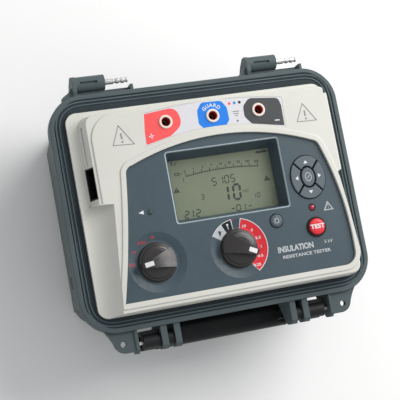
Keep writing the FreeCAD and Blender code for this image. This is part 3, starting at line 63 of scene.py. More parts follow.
class Graph:
    """A material's node tree with short calls for the nodes used here."""

    def __init__(self, name):
        self.material = bpy.data.materials.new(name)
        self.material.use_nodes = True
        self.tree = self.material.node_tree
        self.tree.nodes.clear()
        self.output = self.node("ShaderNodeOutputMaterial")
        self.shader = self.node("ShaderNodeBsdfPrincipled")
        self.join(self.shader.outputs["BSDF"], self.output.inputs["Surface"])
        self.place = self.node("ShaderNodeTexCoord").outputs["Object"]

    def node(self, kind, **inputs):
        item = self.tree.nodes.new(kind)
        for name, value in inputs.items():
            self.feed(item.inputs[name.replace("_", " ")], value)
        return item

    def feed(self, socket, value):
        if isinstance(value, bpy.types.NodeSocket):
            self.join(value, socket)
        else:
            socket.default_value = value

    def join(self, source, target):
        self.tree.links.new(source, target)

    def stretched(self, x, y, z):
        """The object's own coordinates, scaled along each axis."""
        mapping = self.node("ShaderNodeMapping", Vector=self.place, Scale=(x, y, z))
        return mapping.outputs["Vector"]

    def noise(self, scale, detail=2.0, where=None, rough=0.5):
        item = self.node("ShaderNodeTexNoise", Vector=where or self.place, Scale=scale, Detail=detail)
        item.inputs["Roughness"].default_value = rough
        return item.outputs["Fac"]

    def span(self, value, low, high, new_low, new_high):
        item = self.node("ShaderNodeMapRange")
        item.inputs["Value"].default_value = 0.5
        self.feed(item.inputs["Value"], value)
        limits = {"From Min": low, "From Max": high, "To Min": new_low, "To Max": new_high}
        for name, number in limits.items():
            item.inputs[name].default_value = number
        return item.outputs["Result"]

    def maths(self, operation, first, second):
        item = self.node("ShaderNodeMath")
        item.operation = operation
        self.feed(item.inputs[0], first)
        self.feed(item.inputs[1], second)
        return item.outputs[0]

    def mix(self, share, first, second):
        item = self.node("ShaderNodeMix")
        item.data_type = "RGBA"
        self.feed(item.inputs[0], share)
        self.feed(item.inputs[6], first)
        self.feed(item.inputs[7], second)
        return item.outputs[2]

    def soft_edges(self, radius):
        item = self.node("ShaderNodeBevel", Radius=radius)
        item.samples = 4
        return item.outputs["Normal"]

    def edge_share(self, soft):
        """How far a point is on an edge: 0 on flats, rising to 1 on an edge."""
        flat = self.node("ShaderNodeNewGeometry").outputs["Normal"]
        item = self.node("ShaderNodeVectorMath")
        item.operation = "DOT_PRODUCT"
        self.join(soft, item.inputs[0])
        self.join(flat, item.inputs[1])
        return self.span(item.outputs["Value"], 0.99, 0.80, 0.0, 1.0)

    def bump(self, height, strength, distance, soft=None):
        item = self.node("ShaderNodeBump", Strength=strength, Distance=distance)
        self.join(height, item.inputs["Height"])
        if soft:
            self.join(soft, item.inputs["Normal"])
        return item.outputs["Normal"]

    def put(self, **inputs):
        for name, value in inputs.items():
            self.feed(self.shader.inputs[name.replace("_", " ")], value)
        return self.material


def moulded(
    name, colour, rough=0.5, mottle=0.06, grain=1500, depth=0.05, pale_edge_reach=0.25, pale_edge_gain=1.35, edge=0.5, gloss=0.4
):
    """Moulded plastic or rubber: slight mottling, a fine grain and edges a little paler in patches.

    mottle is the change in tone, grain its bump's scale and depth its height in millimetres. pale_edge_reach
    is how much of the edges turns paler, pale_edge_gain how much paler they get, and edge the radius they are
    softened by.
    """
    graph = Graph(name)
    broad = graph.span(graph.noise(28, 4), 0.3, 0.7, 0.0, 1.0)
    base = graph.mix(broad, scaled(colour, 1 - mottle), scaled(colour, 1 + mottle))
    speck = graph.span(graph.noise(900, 2), 0.35, 0.65, 0.0, 1.0)
    base = graph.mix(graph.maths("MULTIPLY", speck, 0.35), base, scaled(colour, 1 + mottle * 2.2))
    soft = graph.soft_edges(edge * MM)
    # edges turn paler in patches, where the softened normal leans away from the flat one
    patchy = graph.span(graph.noise(120, 3), 0.3, 0.65, 0.3, 1.0)
    pale_edge_mask = graph.maths("MULTIPLY", graph.edge_share(soft), graph.maths("MULTIPLY", patchy, pale_edge_reach))
    base = graph.mix(pale_edge_mask, base, scaled(colour, pale_edge_gain))
    smooth, matt = max(0.05, rough - 0.07), min(1.0, rough + 0.07)
    roughness = graph.span(graph.noise(220, 3), 0.3, 0.7, smooth, matt)
    coarse = graph.maths("MULTIPLY", graph.noise(grain * 0.23, 2), 0.5)
    height = graph.maths("ADD", graph.noise(grain, 2), coarse)
    normal = graph.bump(height, 0.35, depth * MM, soft)
    return graph.put(Base_Color=base, Roughness=roughness, Normal=normal, Specular_IOR_Level=gloss)


def metal(name, colour, rough=0.25, along=(1, 30, 30)):
    """Turned or brushed metal with fine tool lines across its length."""
    graph = Graph(name)
    lines = graph.noise(400, 3, graph.stretched(*along))
    soft = graph.soft_edges(0.25 * MM)
    base = graph.mix(graph.span(lines, 0.3, 0.7, 0.0, 1.0), scaled(colour, 0.86), scaled(colour, 1.08))
    stain = graph.span(graph.noise(70, 4), 0.45, 0.75, 0.0, 0.35)
    base = graph.mix(stain, base, scaled(colour, 0.62))
    roughness = graph.span(graph.noise(260, 3), 0.3, 0.7, rough - 0.07, rough + 0.1)
    normal = graph.bump(lines, 0.2, 0.02 * MM, soft)
    return graph.put(Base_Color=base, Metallic=1.0, Roughness=roughness, Normal=normal)


def printed_ink(name, colour, rough=0.42, fade=0.07):
    """Screen-printed ink: nearly even, with a slight unevenness in cover and gloss."""
    graph = Graph(name)
    cover = graph.span(graph.noise(420, 4), 0.3, 0.7, 0.0, 1.0)
    base = graph.mix(cover, scaled(colour, 1 - fade), scaled(colour, 1 + fade))
    roughness = graph.span(graph.noise(350, 2), 0.3, 0.7, rough - 0.06, rough + 0.08)
    normal = graph.bump(graph.noise(2600, 2), 0.2, 0.01 * MM)
    return graph.put(Base_Color=base, Roughness=roughness, Normal=normal, Specular_IOR_Level=0.35)


def lens_plastic(name, colour, glow=0.0):
    """A coloured lamp lens with a faint moulded swirl."""
    graph = Graph(name)
    swirl = graph.span(graph.noise(500, 3), 0.3, 0.7, 0.0, 1.0)
    base = graph.mix(swirl, scaled(colour, 0.7), scaled(colour, 1.15))
    normal = graph.bump(graph.noise(700, 2), 0.15, 0.05 * MM, graph.soft_edges(0.3 * MM))
    graph.put(Base_Color=base, Normal=normal, Coat_Weight=0.6, Coat_Roughness=0.08)
    roughness = graph.span(swirl, 0, 1, 0.12, 0.24)
    return graph.put(Roughness=roughness, Emission_Color=colour, Emission_Strength=glow)


def display_glass():
    """The LCD's polariser: grey-green, with broad random changes in tone and a faint even grain."""
    graph = Graph("lcd_face_finish")
    broad = graph.span(graph.noise(22, 2), 0.3, 0.7, 0.0, 1.0)
    fine = graph.span(graph.noise(1600, 2), 0.3, 0.7, 0.0, 1.0)
    base = graph.mix(broad, scaled(LCD_COLOUR, 0.94), scaled(LCD_COLOUR, 1.06))
    base = graph.mix(graph.maths("MULTIPLY", fine, 0.25), base, scaled(LCD_COLOUR, 1.12))
    roughness = graph.span(fine, 0, 1, 0.3, 0.42)
    return graph.put(Base_Color=base, Roughness=roughness, Specular_IOR_Level=0.25)


def clear_window():
    graph = Graph("window_clear_finish")
    haze = graph.span(graph.noise(60, 4), 0.45, 0.75, 0.03, 0.09)
    normal = graph.bump(graph.noise(40, 2), 0.04, 0.2 * MM)
    return graph.put(Base_Color=linear(190, 205, 200), Alpha=0.05, Roughness=haze, Normal=normal)


def circuit_board(name):
    """Green solder mask with the copper runs showing as paler stripes."""
    graph = Graph(name)
    runs = graph.span(graph.noise(160, 1, graph.stretched(1, 8, 1)), 0.5, 0.52, 0.0, 1.0)
    base = graph.mix(runs, linear(22, 84, 46), linear(44, 118, 62))
    normal = graph.bump(runs, 0.2, 0.03 * MM, graph.soft_edges(0.2 * MM))
    roughness = graph.span(graph.noise(300, 2), 0.3, 0.7, 0.3, 0.45)
    return graph.put(Base_Color=base, Roughness=roughness, Normal=normal)


LCD_COLOUR = linear(126, 133, 111)
finishes = {
    "case_plastic": moulded("case_finish", linear(74, 86, 89), 0.55, 0.09, 1100, 0.09, 0.6, 2.0, 0.9, 0.35),
    "seal_rubber": moulded("seal_finish", linear(44, 54, 59), 0.7, 0.08, 1700, 0.05, 0.2, 1.3, 0.5, 0.25),
    "foot_rubber": moulded("foot_finish", linear(28, 29, 31), 0.8, 0.1, 900, 0.08, 0.2, 1.6, 0.6, 0.2),
    "steel": metal("steel_finish", (0.80, 0.79, 0.79, 1), 0.3, (1, 1.5, 1.5)),
    "black_plastic": moulded("black_finish", linear(26, 27, 29), 0.5, 0.1, 1300, 0.06, 0.3, 2.2, 0.6, 0.3),
    "panel_plastic": moulded(
        "panel_finish", linear(212, 212, 205), 0.5, 0.025, 1700, 0.05, 0.2, 1.06, 1.0, 0.35
    ),
    "fascia_plastic": moulded(
        "fascia_finish", linear(64, 80, 89), 0.42, 0.05, 2000, 0.035, 0.4, 1.9, 0.4, 0.4
    ),
    "window_clear": clear_window(),
    "lcd_face": display_glass(),
    "white_plastic": moulded("diffuser_finish", linear(225, 225, 220), 0.4, 0.03, 1500, 0.03),
    "overlay_film": printed_ink("overlay_finish", linear(216, 215, 220), 0.4, 0.03),
    "module_black": moulded("potting_finish", linear(24, 24, 25), 0.4, 0.1, 500, 0.1),
    "knob_plastic": moulded("knob_finish", linear(44, 41, 43), 0.3, 0.08, 1500, 0.02, 0.4, 2.6, 0.35, 0.6),
    "pointer_white": moulded(
        "pointer_finish", linear(228, 228, 228), 0.4, 0.04, 1500, 0.02, 0.1, 1.0, 0.3, 0.4
    ),
    "key_rubber": moulded("key_finish", linear(86, 97, 104), 0.45, 0.07, 1500, 0.04, 0.5, 1.9, 0.6, 0.4),
    "backlight_grey": moulded(
        "backlight_finish", linear(72, 84, 92), 0.45, 0.06, 1500, 0.04, 0.4, 1.7, 0.5, 0.4
    ),
    "test_red": moulded("test_finish", linear(224, 44, 56), 0.35, 0.05, 1500, 0.02, 0.2, 1.4, 0.6, 0.45),
    "board_green": circuit_board("board_finish"),
    "led_red": lens_plastic("led_red_finish", linear(168, 14, 48), 0.03),
    "led_green": lens_plastic("status_finish", linear(40, 66, 62), 0.0),
    "battery_wrap": moulded("battery_finish", linear(40, 70, 130), 0.3, 0.05, 900, 0.03),
    "transformer_iron": metal("iron_finish", (0.3, 0.29, 0.28, 1), 0.45, (1, 1, 60)),
    "collar_plastic": moulded(
        "collar_finish", linear(236, 222, 212), 0.4, 0.03, 1500, 0.02, 0.1, 1.0, 0.4, 0.4
    ),
    "sleeve_red": moulded("sleeve_finish", linear(172, 24, 34), 0.3, 0.06, 1500, 0.02, 0.2, 1.3, 0.3, 0.5),
    # brass far darker than its own colour: painted shade for the contacts deep in the socket bores
    "brass": metal("brass_bore_shade_finish", (0.30, 0.17, 0.08, 1), 0.4, (3, 3, 1)),
    "panel_mark": moulded(
        "panel_mark_finish", linear(150, 149, 146), 0.5, 0.05, 1700, 0.03, 0.1, 1.1, 0.2, 0.3
    ),
    # paler than the seal rubber: painted highlight along the seal's beads
    "bead": moulded("bead_highlight_finish", linear(78, 92, 97), 0.6, 0.08, 1700, 0.05, 0.2, 1.3, 0.4, 0.3),
    # pale finish for the slant round the display recess: painted highlight
    "bevel": moulded("bevel_highlight_finish", linear(158, 172, 179), 0.28, 0.04, 2000, 0.02, 0.1, 1.2, 0.2, 0.7),
}
inks = {
    "white": printed_ink("white_ink", linear(226, 230, 233)),
    "grey": printed_ink("grey_ink", linear(186, 190, 194)),
    "red": printed_ink("red_ink", linear(232, 52, 62)),
    "dull_red": printed_ink("dull_red_ink", linear(186, 62, 74)),
    "patch_red": printed_ink("patch_red_ink", linear(247, 88, 90), 0.38, 0.03),
    "blue": printed_ink("blue_ink", linear(8, 124, 226), 0.5, 0.03),
    "dark": printed_ink("dark_ink", linear(62, 65, 68), 0.38, 0.05),
    "black": printed_ink("black_ink", linear(24, 28, 30)),
    "lcd": printed_ink("lcd_segment_ink", linear(40, 46, 40), 0.4, 0.1),
    "lcd_faint": printed_ink("lcd_faint_ink", linear(98, 105, 88), 0.4, 0.08),
}

for row in frame["record"]["subparts"]:
    node = frame["nodes"][row["node"]]
    mesh = node.data
    mesh.materials.clear()
    mesh.materials.append(finishes[row["material_slot"]])
    mesh.polygons.foreach_set("material_index", [0] * len(mesh.polygons))
    mesh.shade_smooth()
    mesh.set_sharp_from_angle(angle=math.radians(SHARP_ANGLE))


# ---------------------------------------------------------------- heights read from the frame, in millimetres
def edges(node):
    low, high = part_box(node)
    return low / MM, high / MM


def centre(node):
    low, high = edges(node)
    return (low.x + high.x) / 2, (low.y + high.y) / 2


FASCIA_TOP = edges("control_fascia")[1].z
OVERLAY_TOP = edges("terminal_overlay")[1].z
LCD_TOP = edges("lcd_panel")[1].z
MODE = centre("mode_switch")
FUNCTION = centre("function_switch")
# radius at the rim and at the floor of the dish round each knob, and how deep it is
DISH_RIM, DISH_FLOOR, DISH_DEPTH = 30.0, 22.0, 2.2


def on_fascia(x, y):
    """The height of the fascia's face, with the dish round each knob."""
    away = min(math.dist((x, y), MODE), math.dist((x, y), FUNCTION))
    share = min(1.0, max(0.0, (DISH_RIM - away) / (DISH_RIM - DISH_FLOOR)))
    return FASCIA_TOP - DISH_DEPTH * share


def level(height):
    return lambda x, y: height


# ---------------------------------------------------------------- flat outlines
def disc(x, y, radius, count=40):
    return ellipse_ring(x, y, radius, radius, count)


def ellipse_ring(x, y, half_width, half_height, count=72):
    turns = [2 * math.pi * n / count for n in range(count)]
    return [(x + half_width * math.cos(turn), y + half_height * math.sin(turn)) for turn in turns]


def sector(x, y, inner, outer, start, end, steps=60):
    """A band between two radii. Angles are clockwise from +Y, in degrees."""
    angles = [math.radians(start + (end - start) * n / steps) for n in range(steps + 1)]
    out = [(x + outer * math.sin(a), y + outer * math.cos(a)) for a in angles]
    back = [(x + inner * math.sin(a), y + inner * math.cos(a)) for a in reversed(angles)]
    return out + back


def rounded(corners, steps=6):
    """A polygon of (x, y, radius) corners, with each corner rounded."""
    loop = []
    count = len(corners)
    for n, (x, y, radius) in enumerate(corners):
        here = Vector((x, y))
        before = Vector(corners[n - 1][:2]) - here
        after = Vector(corners[(n + 1) % count][:2]) - here
        if radius <= 0:
            loop.append((x, y))
            continue
        half = before.angle(after) / 2
        reach = min(radius / math.tan(half), before.length * 0.49, after.length * 0.49)
        start, end = here + before.normalized() * reach, here + after.normalized() * reach
        for k in range(steps + 1):
            t = k / steps
            point = start.lerp(here, t).lerp(here.lerp(end, t), t)
            loop.append((point.x, point.y))
    return loop


def bar(x0, y0, x1, y1, width):
    """A straight stroke between two points."""
    along = Vector((x1 - x0, y1 - y0)).normalized() * width / 2
    side = Vector((-along.y, along.x))
    return [
        (x0 - side.x, y0 - side.y), (x1 - side.x, y1 - side.y), (x1 + side.x, y1 + side.y),
        (x0 + side.x, y0 + side.y),
    ]


def outline_of(corners, width):
    """A closed polygon drawn as a stroke: an outer loop and an inner one."""
    points = [Vector(c) for c in corners]
    middle = sum(points, Vector((0, 0))) / len(points)
    inner = []
    for n, here in enumerate(points):
        before = (points[n - 1] - here).normalized()
        after = (points[(n + 1) % len(points)] - here).normalized()
        inward = (before + after).normalized()
        half = before.angle(after) / 2
        inner.append(tuple(here + inward * (width / math.sin(half))))
    return [[tuple(p) for p in points], inner]


def turned_loop(loop, x, y, angle):
    """A loop drawn about the origin, turned by an angle in radians and moved."""
    c, s = math.cos(angle), math.sin(angle)
    return [(x + px * c - py * s, y + px * s + py * c) for px, py in loop]


# ---------------------------------------------------------------- thin pieces laid on a face
# A "flat" below is a pair: (x, y) corners in millimetres, and faces as tuples of corner numbers.
def filled(loops):
    """Flat faces for loops; a loop inside another is a hole."""
    curve = bpy.data.curves.new("outline", "CURVE")
    curve.dimensions = "2D"
    curve.fill_mode = "BOTH"
    for loop in loops:
        spline = curve.splines.new("POLY")
        spline.points.add(len(loop) - 1)
        for point, (x, y) in zip(spline.points, loop):
            point.co = (x, y, 0, 1)
        spline.use_cyclic_u = True
    return flat_mesh(curve)


def lettering(text, x, y, size, angle=0.0, bold=0.0, wide=1.0, lean=0.0):
    """Flat faces for a word centred on a point; size is the height of its capitals."""
    curve = bpy.data.curves.new("word", "FONT")
    curve.body = text
    curve.size = size / 0.69
    curve.align_x = "CENTER"
    curve.align_y = "CENTER"
    curve.offset = bold
    curve.shear = lean
    curve.resolution_u = 4
    corners, faces = flat_mesh(curve)
    c, s = math.cos(angle), math.sin(angle)
    placed = [(x + px * wide * c - py * s, y + px * wide * s + py * c) for px, py in corners]
    return placed, faces


def flat_mesh(curve):
    """The flat faces a curve fills. The curve is removed."""
    holder = bpy.data.objects.new("holder", curve)
    mesh = bpy.data.meshes.new_from_object(holder)
    corners = [(v.co.x, v.co.y) for v in mesh.vertices]
    faces = [tuple(p.vertices) for p in mesh.polygons]
    bpy.data.objects.remove(holder)
    bpy.data.curves.remove(curve)
    bpy.data.meshes.remove(mesh)
    return corners, faces


def joined(*flats):
    """Several flat meshes as one."""
    corners, faces = [], []
    for more_corners, more_faces in flats:
        start = len(corners)
        corners += more_corners
        faces += [tuple(start + n for n in face) for face in more_faces]
    return corners, faces


def finer(flat, longest):
    """The same flat faces as triangles with no edge longer than a limit."""
    corners, faces = list(flat[0]), []
    for face in flat[1]:
        faces += [(face[0], face[n], face[n + 1]) for n in range(1, len(face) - 1)]
    middles = {}

    def middle(a, b):
        key = (min(a, b), max(a, b))
        if key not in middles:
            corners.append(((corners[a][0] + corners[b][0]) / 2, (corners[a][1] + corners[b][1]) / 2))
            middles[key] = len(corners) - 1
        return middles[key]

    while True:
        split = set()
        for a, b, c in faces:
            for p, q in ((a, b), (b, c), (c, a)):
                if math.dist(corners[p], corners[q]) > longest:
                    split.add((min(p, q), max(p, q)))
        if not split:
            break
        fresh = []
        for a, b, c in faces:
            marks = [(min(p, q), max(p, q)) in split for p, q in ((a, b), (b, c), (c, a))]
            if sum(marks) == 3:
                d, e, f = middle(a, b), middle(b, c), middle(c, a)
                fresh += [(a, d, f), (d, b, e), (f, e, c), (d, e, f)]
            elif sum(marks) == 0:
                fresh.append((a, b, c))
            else:
                while not marks[0]:
                    a, b, c = b, c, a
                    marks = marks[1:] + marks[:1]
                d = middle(a, b)
                if marks[1]:
                    e = middle(b, c)
                    fresh += [(d, b, e), (a, d, e), (a, e, c)]
                elif marks[2]:
                    f = middle(c, a)
                    fresh += [(a, d, f), (d, b, f), (f, b, c)]
                else:
                    fresh += [(a, d, c), (d, b, c)]
        faces = fresh
    return corners, faces


def attached(name, mesh, body):
    """An object for a mesh, carried by a body."""
    piece = bpy.data.objects.new(name, mesh)
    scene.collection.objects.link(piece)
    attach(piece, body)
    return piece


def lay(name, flat, surface, finish, body="base", thick=0.07, sunk=0.03, longest=None):
    """A closed thin piece over flat faces, from sunk below a surface to thick above it."""
    corners, faces = finer(flat, longest) if longest else flat
    used = sorted({n for face in faces for n in face})
    spot = {n: k for k, n in enumerate(used)}
    faces = [tuple(spot[n] for n in face) for face in faces]
    corners = [corners[n] for n in used]
    count = len(corners)
    low = [(x * MM, y * MM, (surface(x, y) - sunk) * MM) for x, y in corners]
    high = [(x * MM, y * MM, (surface(x, y) + thick) * MM) for x, y in corners]
    area = 0.0
    for face in faces:
        for n, a in enumerate(face):
            b = face[(n + 1) % len(face)]
            area += corners[a][0] * corners[b][1] - corners[b][0] * corners[a][1]
    if area < 0:
        faces = [tuple(reversed(face)) for face in faces]
    sides = {}
    for face in faces:
        for n, a in enumerate(face):
            sides[(a, face[(n + 1) % len(face)])] = True
    solid = [tuple(n + count for n in face) for face in faces]
    solid += [tuple(reversed(face)) for face in faces]
    solid += [(a, b, b + count, a + count) for a, b in sides if (b, a) not in sides]
    mesh = bpy.data.meshes.new(name)
    mesh.from_pydata(low + high, [], solid)
    mesh.validate()
    mesh.materials.append(finish)
    return attached(name, mesh, body)


# ---------------------------------------------------------------- display marks
SEGMENTS = {
    "0": "abcdef", "1": "bc", "2": "abged", "3": "abgcd", "5": "afgcd",
}


def digit(sign, x, y, width, height, stroke, lean=0.06):
    """The lit segments of one seven-segment digit, centred on a point."""
    half_w, half_h, gap = width / 2, height / 2, stroke * 0.14
    ends = {
        "a": (-half_w, half_h, half_w, half_h), "g": (-half_w, 0, half_w, 0),
        "d": (-half_w, -half_h, half_w, -half_h),
        "b": (half_w, half_h, half_w, 0), "c": (half_w, 0, half_w, -half_h),
        "f": (-half_w, half_h, -half_w, 0), "e": (-half_w, 0, -half_w, -half_h),
    }
    loops = []
    for segment in SEGMENTS[sign]:
        x0, y0, x1, y1 = ends[segment]
        along = Vector((x1 - x0, y1 - y0)).normalized()
        side = Vector((-along.y, along.x)) * stroke / 2
        start, end = Vector((x0, y0)) + along * gap, Vector((x1, y1)) - along * gap
        inner_start, inner_end = start + along * stroke / 2, end - along * stroke / 2
        points = [start, inner_start + side, inner_end + side, end, inner_end - side, inner_start - side]
        loops.append([(x + p.x + p.y * lean, y + p.y) for p in points])
    return loops


def warning_triangle(x, y, size, stroke):
    """A triangle outline with a plain upright bar and dot inside."""
    height = size * 0.87
    corners = [(x - size / 2, y - height / 2), (x + size / 2, y - height / 2), (x, y + height / 2)]
    loops = outline_of(corners, stroke)
    loops.append(bar(x, y - height * 0.02, x, y + height * 0.2, stroke * 0.9))
    loops.append(disc(x, y - height * 0.2, stroke * 0.55, 12))
    return loops


def display_marks():
    """Lit segments, the bar scale with its numbers, and small symbols on the LCD's face."""
    dark = []
    for sign, x, y, width, height, stroke in (
        ("5", 3.9, 13.9, 4.2, 7.4, 1.2), ("1", 11.2, 14.1, 4.2, 7.4, 1.2),
        ("0", 17.7, 14.6, 4.2, 7.4, 1.2),
        ("5", 24.2, 14.7, 4.2, 7.4, 1.2),
        ("1", 12.9, 0, 7.2, 15.2, 2.5), ("0", 26, 0.1, 7.0, 15.2, 2.5),
        ("3", -11.2, 0.1, 3.0, 5.0, 0.9), ("1", 43.6, -6.5, 3.0, 4.4, 0.85),
        ("0", 48.6, -6.5, 3.0, 4.4, 0.85),
        ("2", -30.9, -15.4, 4.2, 7.0, 1.2), ("1", -26.2, -15.4, 4.2, 7.0, 1.2),
        ("2", -18.6, -15.5, 4.2, 7.0, 1.2),
        ("0", 24.6, -16.6, 4.2, 6.0, 1.15), ("1", 30.0, -16.6, 4.2, 6.0, 1.15),
        ("1", -29.0, 20.0, 2.4, 4.4, 0.85),
    ):
        dark += digit(sign, x, y, width, height, stroke)
    for x, y, width in ((18.8, -16.6, 3.4), (37.4, -16.4, 3.4)):
        dark.append(bar(x - width / 2, y, x + width / 2, y, 1.15))
    dark.append(disc(-14.4, -19, 0.55, 14))
    radius, middle_x, crown = 268.0, 14.5, 26.6

    def arch(px):
        return crown - radius + math.sqrt(radius**2 - (px - middle_x) ** 2)

    top = [(-24.7 + 78.4 * n / 48, arch(-24.7 + 78.4 * n / 48)) for n in range(49)]
    dark.append(top + [(x, y - 0.9) for x, y in reversed(top)])
    for n in range(37):
        x = -24.5 + 78.0 * n / 36
        size = 3.0 if n % 4 == 0 else 1.3
        dark.append(bar(x, arch(x), x + 0.02, arch(x) + size, 0.85 if n % 4 == 0 else 0.4))
    marks = []
    for n, word in enumerate(("0", "1", "2", "5", "10", "20", "50", "100", "200")):
        x = -25 + 9.75 * n
        marks.append(lettering(word, x, arch(x) + 4.7, 2.3, bold=0.09))
    marks.append(lettering("T", -37.4, 37.6, 3.6, bold=0.2))
    dark.append(bar(-35.2, 36.0, -32.6, 39.0, 0.9))
    dark += outline_of([(-36.4, 25.2), (-31.4, 25.2), (-31.4, 28.4), (-36.4, 28.4)], 0.8)
    dark += [bar(-31.0, 26.8, -28.6, 26.8, 0.8)]
    dark += [rounded([(54.6, 36.6, 0.4), (66.4, 36.6, 0.4), (66.4, 39.2, 0.4), (54.6, 39.2, 0.4)])]
    dark += [[(53.7, 37.3), (54.4, 37.3), (54.4, 38.5), (53.7, 38.5)]]
    for x, y in ((-37.0, 10.6), (60.8, 9.4)):
        dark += warning_triangle(x, y, 7.4, 0.75)
    marks.append(lettering("MΩ", 35.4, -0.6, 3.0))
    face = level(LCD_TOP)
    lay("lcd_segments", joined(filled(dark), *marks), face, inks["lcd"], thick=0.05)


display_marks()


# ---------------------------------------------------------------- knob scales and fascia prints
def polar(middle, radius, angle):
    turn = math.radians(angle)
    return middle[0] + radius * math.sin(turn), middle[1] + radius * math.cos(turn)


def fascia_print(name, flat, ink, thick=0.05, longest=1.4):
    """A print on the fascia that follows the dishes round the knobs."""
    lay(name, flat, on_fascia, inks[ink], thick=thick, longest=longest)


def fascia_prints():
    """Scales round both knobs, the lamp's arrow and triangle, and the title."""
    x, y = FUNCTION
    red = filled([sector(x, y, 19.6, 29.6, 12, 147)])
    fascia_print("function_scale_red", red, "red")
    rim = [
        sector(x, y, 29.6, 30.3, 11.2, 147.8), sector(x, y, 19.6, 30.0, 11.2, 11.9, 4),
        sector(x, y, 19.6, 30.0, 147.1, 147.8, 4),
    ]
    fascia_print("function_scale_edge", filled(rim), "white", 0.06)
    words = []
    for word, px, py in (
        ("10", 20.8, -37.4), ("5", 28.6, -42.7), ("2.5", 33.6, -51.2), ("1", 35.2, -60.4),
        ("0.5", 32.6, -69.6), ("0.25", 27.4, -78.0),
    ):
        words.append(lettering(word, px, py, 2.5, bold=0.12, wide=1.25))
    fascia_print("function_scale_numbers", joined(*words), "white", 0.12, 1.2)
    pale = [sector(x, y, 19.6, 30.0, -58, -31, 12)]
    dark = [sector(x, y, 19.6, 30.0, -29.6, -7, 12)]
    fascia_print("function_scale_off", filled(pale), "grey")
    fascia_print("function_scale_dark", filled(dark), "black")
    line = [
        sector(x, y, 29.8, 30.4, -59, -6.4, 20), sector(x, y, 19.6, 30.0, -7.2, -6.4, 3),
        sector(x, y, 19.6, 30.0, -30.6, -29.8, 3),
    ]
    fascia_print("function_scale_line", filled(line), "white", 0.06)
    px, py = polar(FUNCTION, 24.8, -18)
    spot = [disc(px - 0.4, py + 1.6, 1.1, 16), bar(px - 0.4, py + 0.6, px + 0.4, py - 2.8, 0.7)]
    fascia_print("function_scale_dot", filled(spot), "white", 0.1, 1.2)
    px, py = polar(FUNCTION, 24.8, -44)
    sign = [
        bar(px - 1.6, py + 2.0, px + 1.8, py + 1.6, 0.9), bar(px + 1.5, py + 1.8, px - 0.2, py - 2.6, 0.9),
    ]
    fascia_print("function_scale_sign", filled(sign), "dark", 0.1, 1.2)
    tick = [bar(7.6, -29.6, 11.6, -29.3, 0.5)]
    fascia_print("function_scale_tick", filled(tick), "dull_red", 0.1, 1.2)
    words = []
    for word, px, py in (
        ("IR", -74.5, -34.0), ("DAR", -86.4, -37.6), ("PI", -95.6, -46.0), ("DD", -99.6, -57.8),
    ):
        words.append(lettering(word, px, py, 2.7, bold=0.08, wide=1.15))
    fascia_print("mode_scale_words", joined(*words), "dull_red", 0.12, 1.2)
    flat = level(FASCIA_TOP)
    triangle = filled(warning_triangle(114.7, -30.2, 11.0, 0.95))
    lay("high_voltage_sign", triangle, flat, inks["grey"])
    arrow = [[(-84.6, -8.3), (-79.2, -10.2), (-79.2, -6.2)]]
    lay("status_arrow", filled(arrow), flat, inks["white"])
    words = [
        lettering("INSULATION", 71.0, -67.8, 5.6, bold=0.3, wide=0.84),
        lettering("5 kV", 107.6, -66.6, 3.2, bold=0.05, wide=1.1),
        lettering("RESISTANCE TESTER", 81.6, -75.6, 3.1, bold=0.12, wide=1.3),
    ]
    lay("fascia_title", joined(*words), flat, inks["grey"], thick=0.08)


fascia_prints()


# ---------------------------------------------------------------- terminal strip
def terminal_prints():
    """Coloured patches round the sockets, with their signs and small notes."""
    flat = level(OVERLAY_TOP)
    places = [centre("terminal_collar_" + name) for name in ("positive", "guard", "negative")]
    hole = 6.95
    red = [
        (-62.9, 88.6, 1.5), (-28.0, 92.2, 14.0), (-23.4, 74.0, 14.0), (-38.0, 63.4, 8), (-64.4, 57.6, 1.0),
    ]
    blue = [
        (-6.4, 85.4, 7), (-0.6, 93.2, 5), (20.6, 92.6, 5), (25.6, 85.0, 7), (25.9, 71.8, 5),
        (21.6, 66.8, 2), (-2.4, 66.6, 2), (-7.0, 71.6, 5),
    ]
    dark = [
        (50.6, 91.6, 7), (82.4, 88.2, 8), (84.4, 80.0, 2), (83.8, 58.6, 1.0), (49.4, 64.6, 6),
        (42.6, 73.0, 6), (43.0, 84.0, 7),
    ]
    patches = (
        ("positive", rounded(red, 10), "patch_red"), ("guard", rounded(blue, 8), "blue"),
        ("negative", rounded(dark), "dark"),
    )
    for (name, loop, ink), (x, y) in zip(patches, places):
        patch = filled([loop, disc(x, y, hole)])
        lay(f"terminal_patch_{name}", patch, flat, inks[ink], thick=0.04)
    white = [
        bar(-60.4, 65.6, -55.2, 66.0, 0.9), bar(-57.7, 63.2, -57.9, 68.4, 0.9),
        bar(74.4, 65.2, 79.6, 64.9, 1.1),
    ]
    letters = []
    x, y = places[1]
    for n, letter in enumerate("GUARD"):
        angle = -44 + 22 * n
        px, py = polar((x, y), 10.9, angle)
        letters.append(lettering(letter, px, py, 3.6, -math.radians(angle), 0.12))
    lay("terminal_signs", joined(filled(white), *letters), flat, inks["white"], thick=0.09)
    dots = (("patch_red", 28.9, 88.5), ("blue", 34.4, 88.6), ("black", 40.0, 88.6))
    for n, (ink, px, py) in enumerate(dots):
        lay(f"overlay_dot_{n}", filled([disc(px, py, 1.5, 24)]), flat, inks[ink], thick=0.05)
    notes = [
        bar(30.8, 79.6, 38.0, 79.6, 0.7), bar(31.6, 77.4, 37.2, 77.4, 0.7),
        bar(33.0, 75.3, 36.0, 75.3, 0.7), disc(34.5, 69.8, 1.0, 20),
    ]
    lay("overlay_notes", filled(notes), flat, inks["lcd_faint"], thick=0.05)


terminal_prints()


# ---------------------------------------------------------------- key prints
def crowned(x, y, top, radius):
    """The height of a slightly domed button's face."""
    return lambda px, py: top - 0.1 * math.dist((px, py), (x, y)) / radius


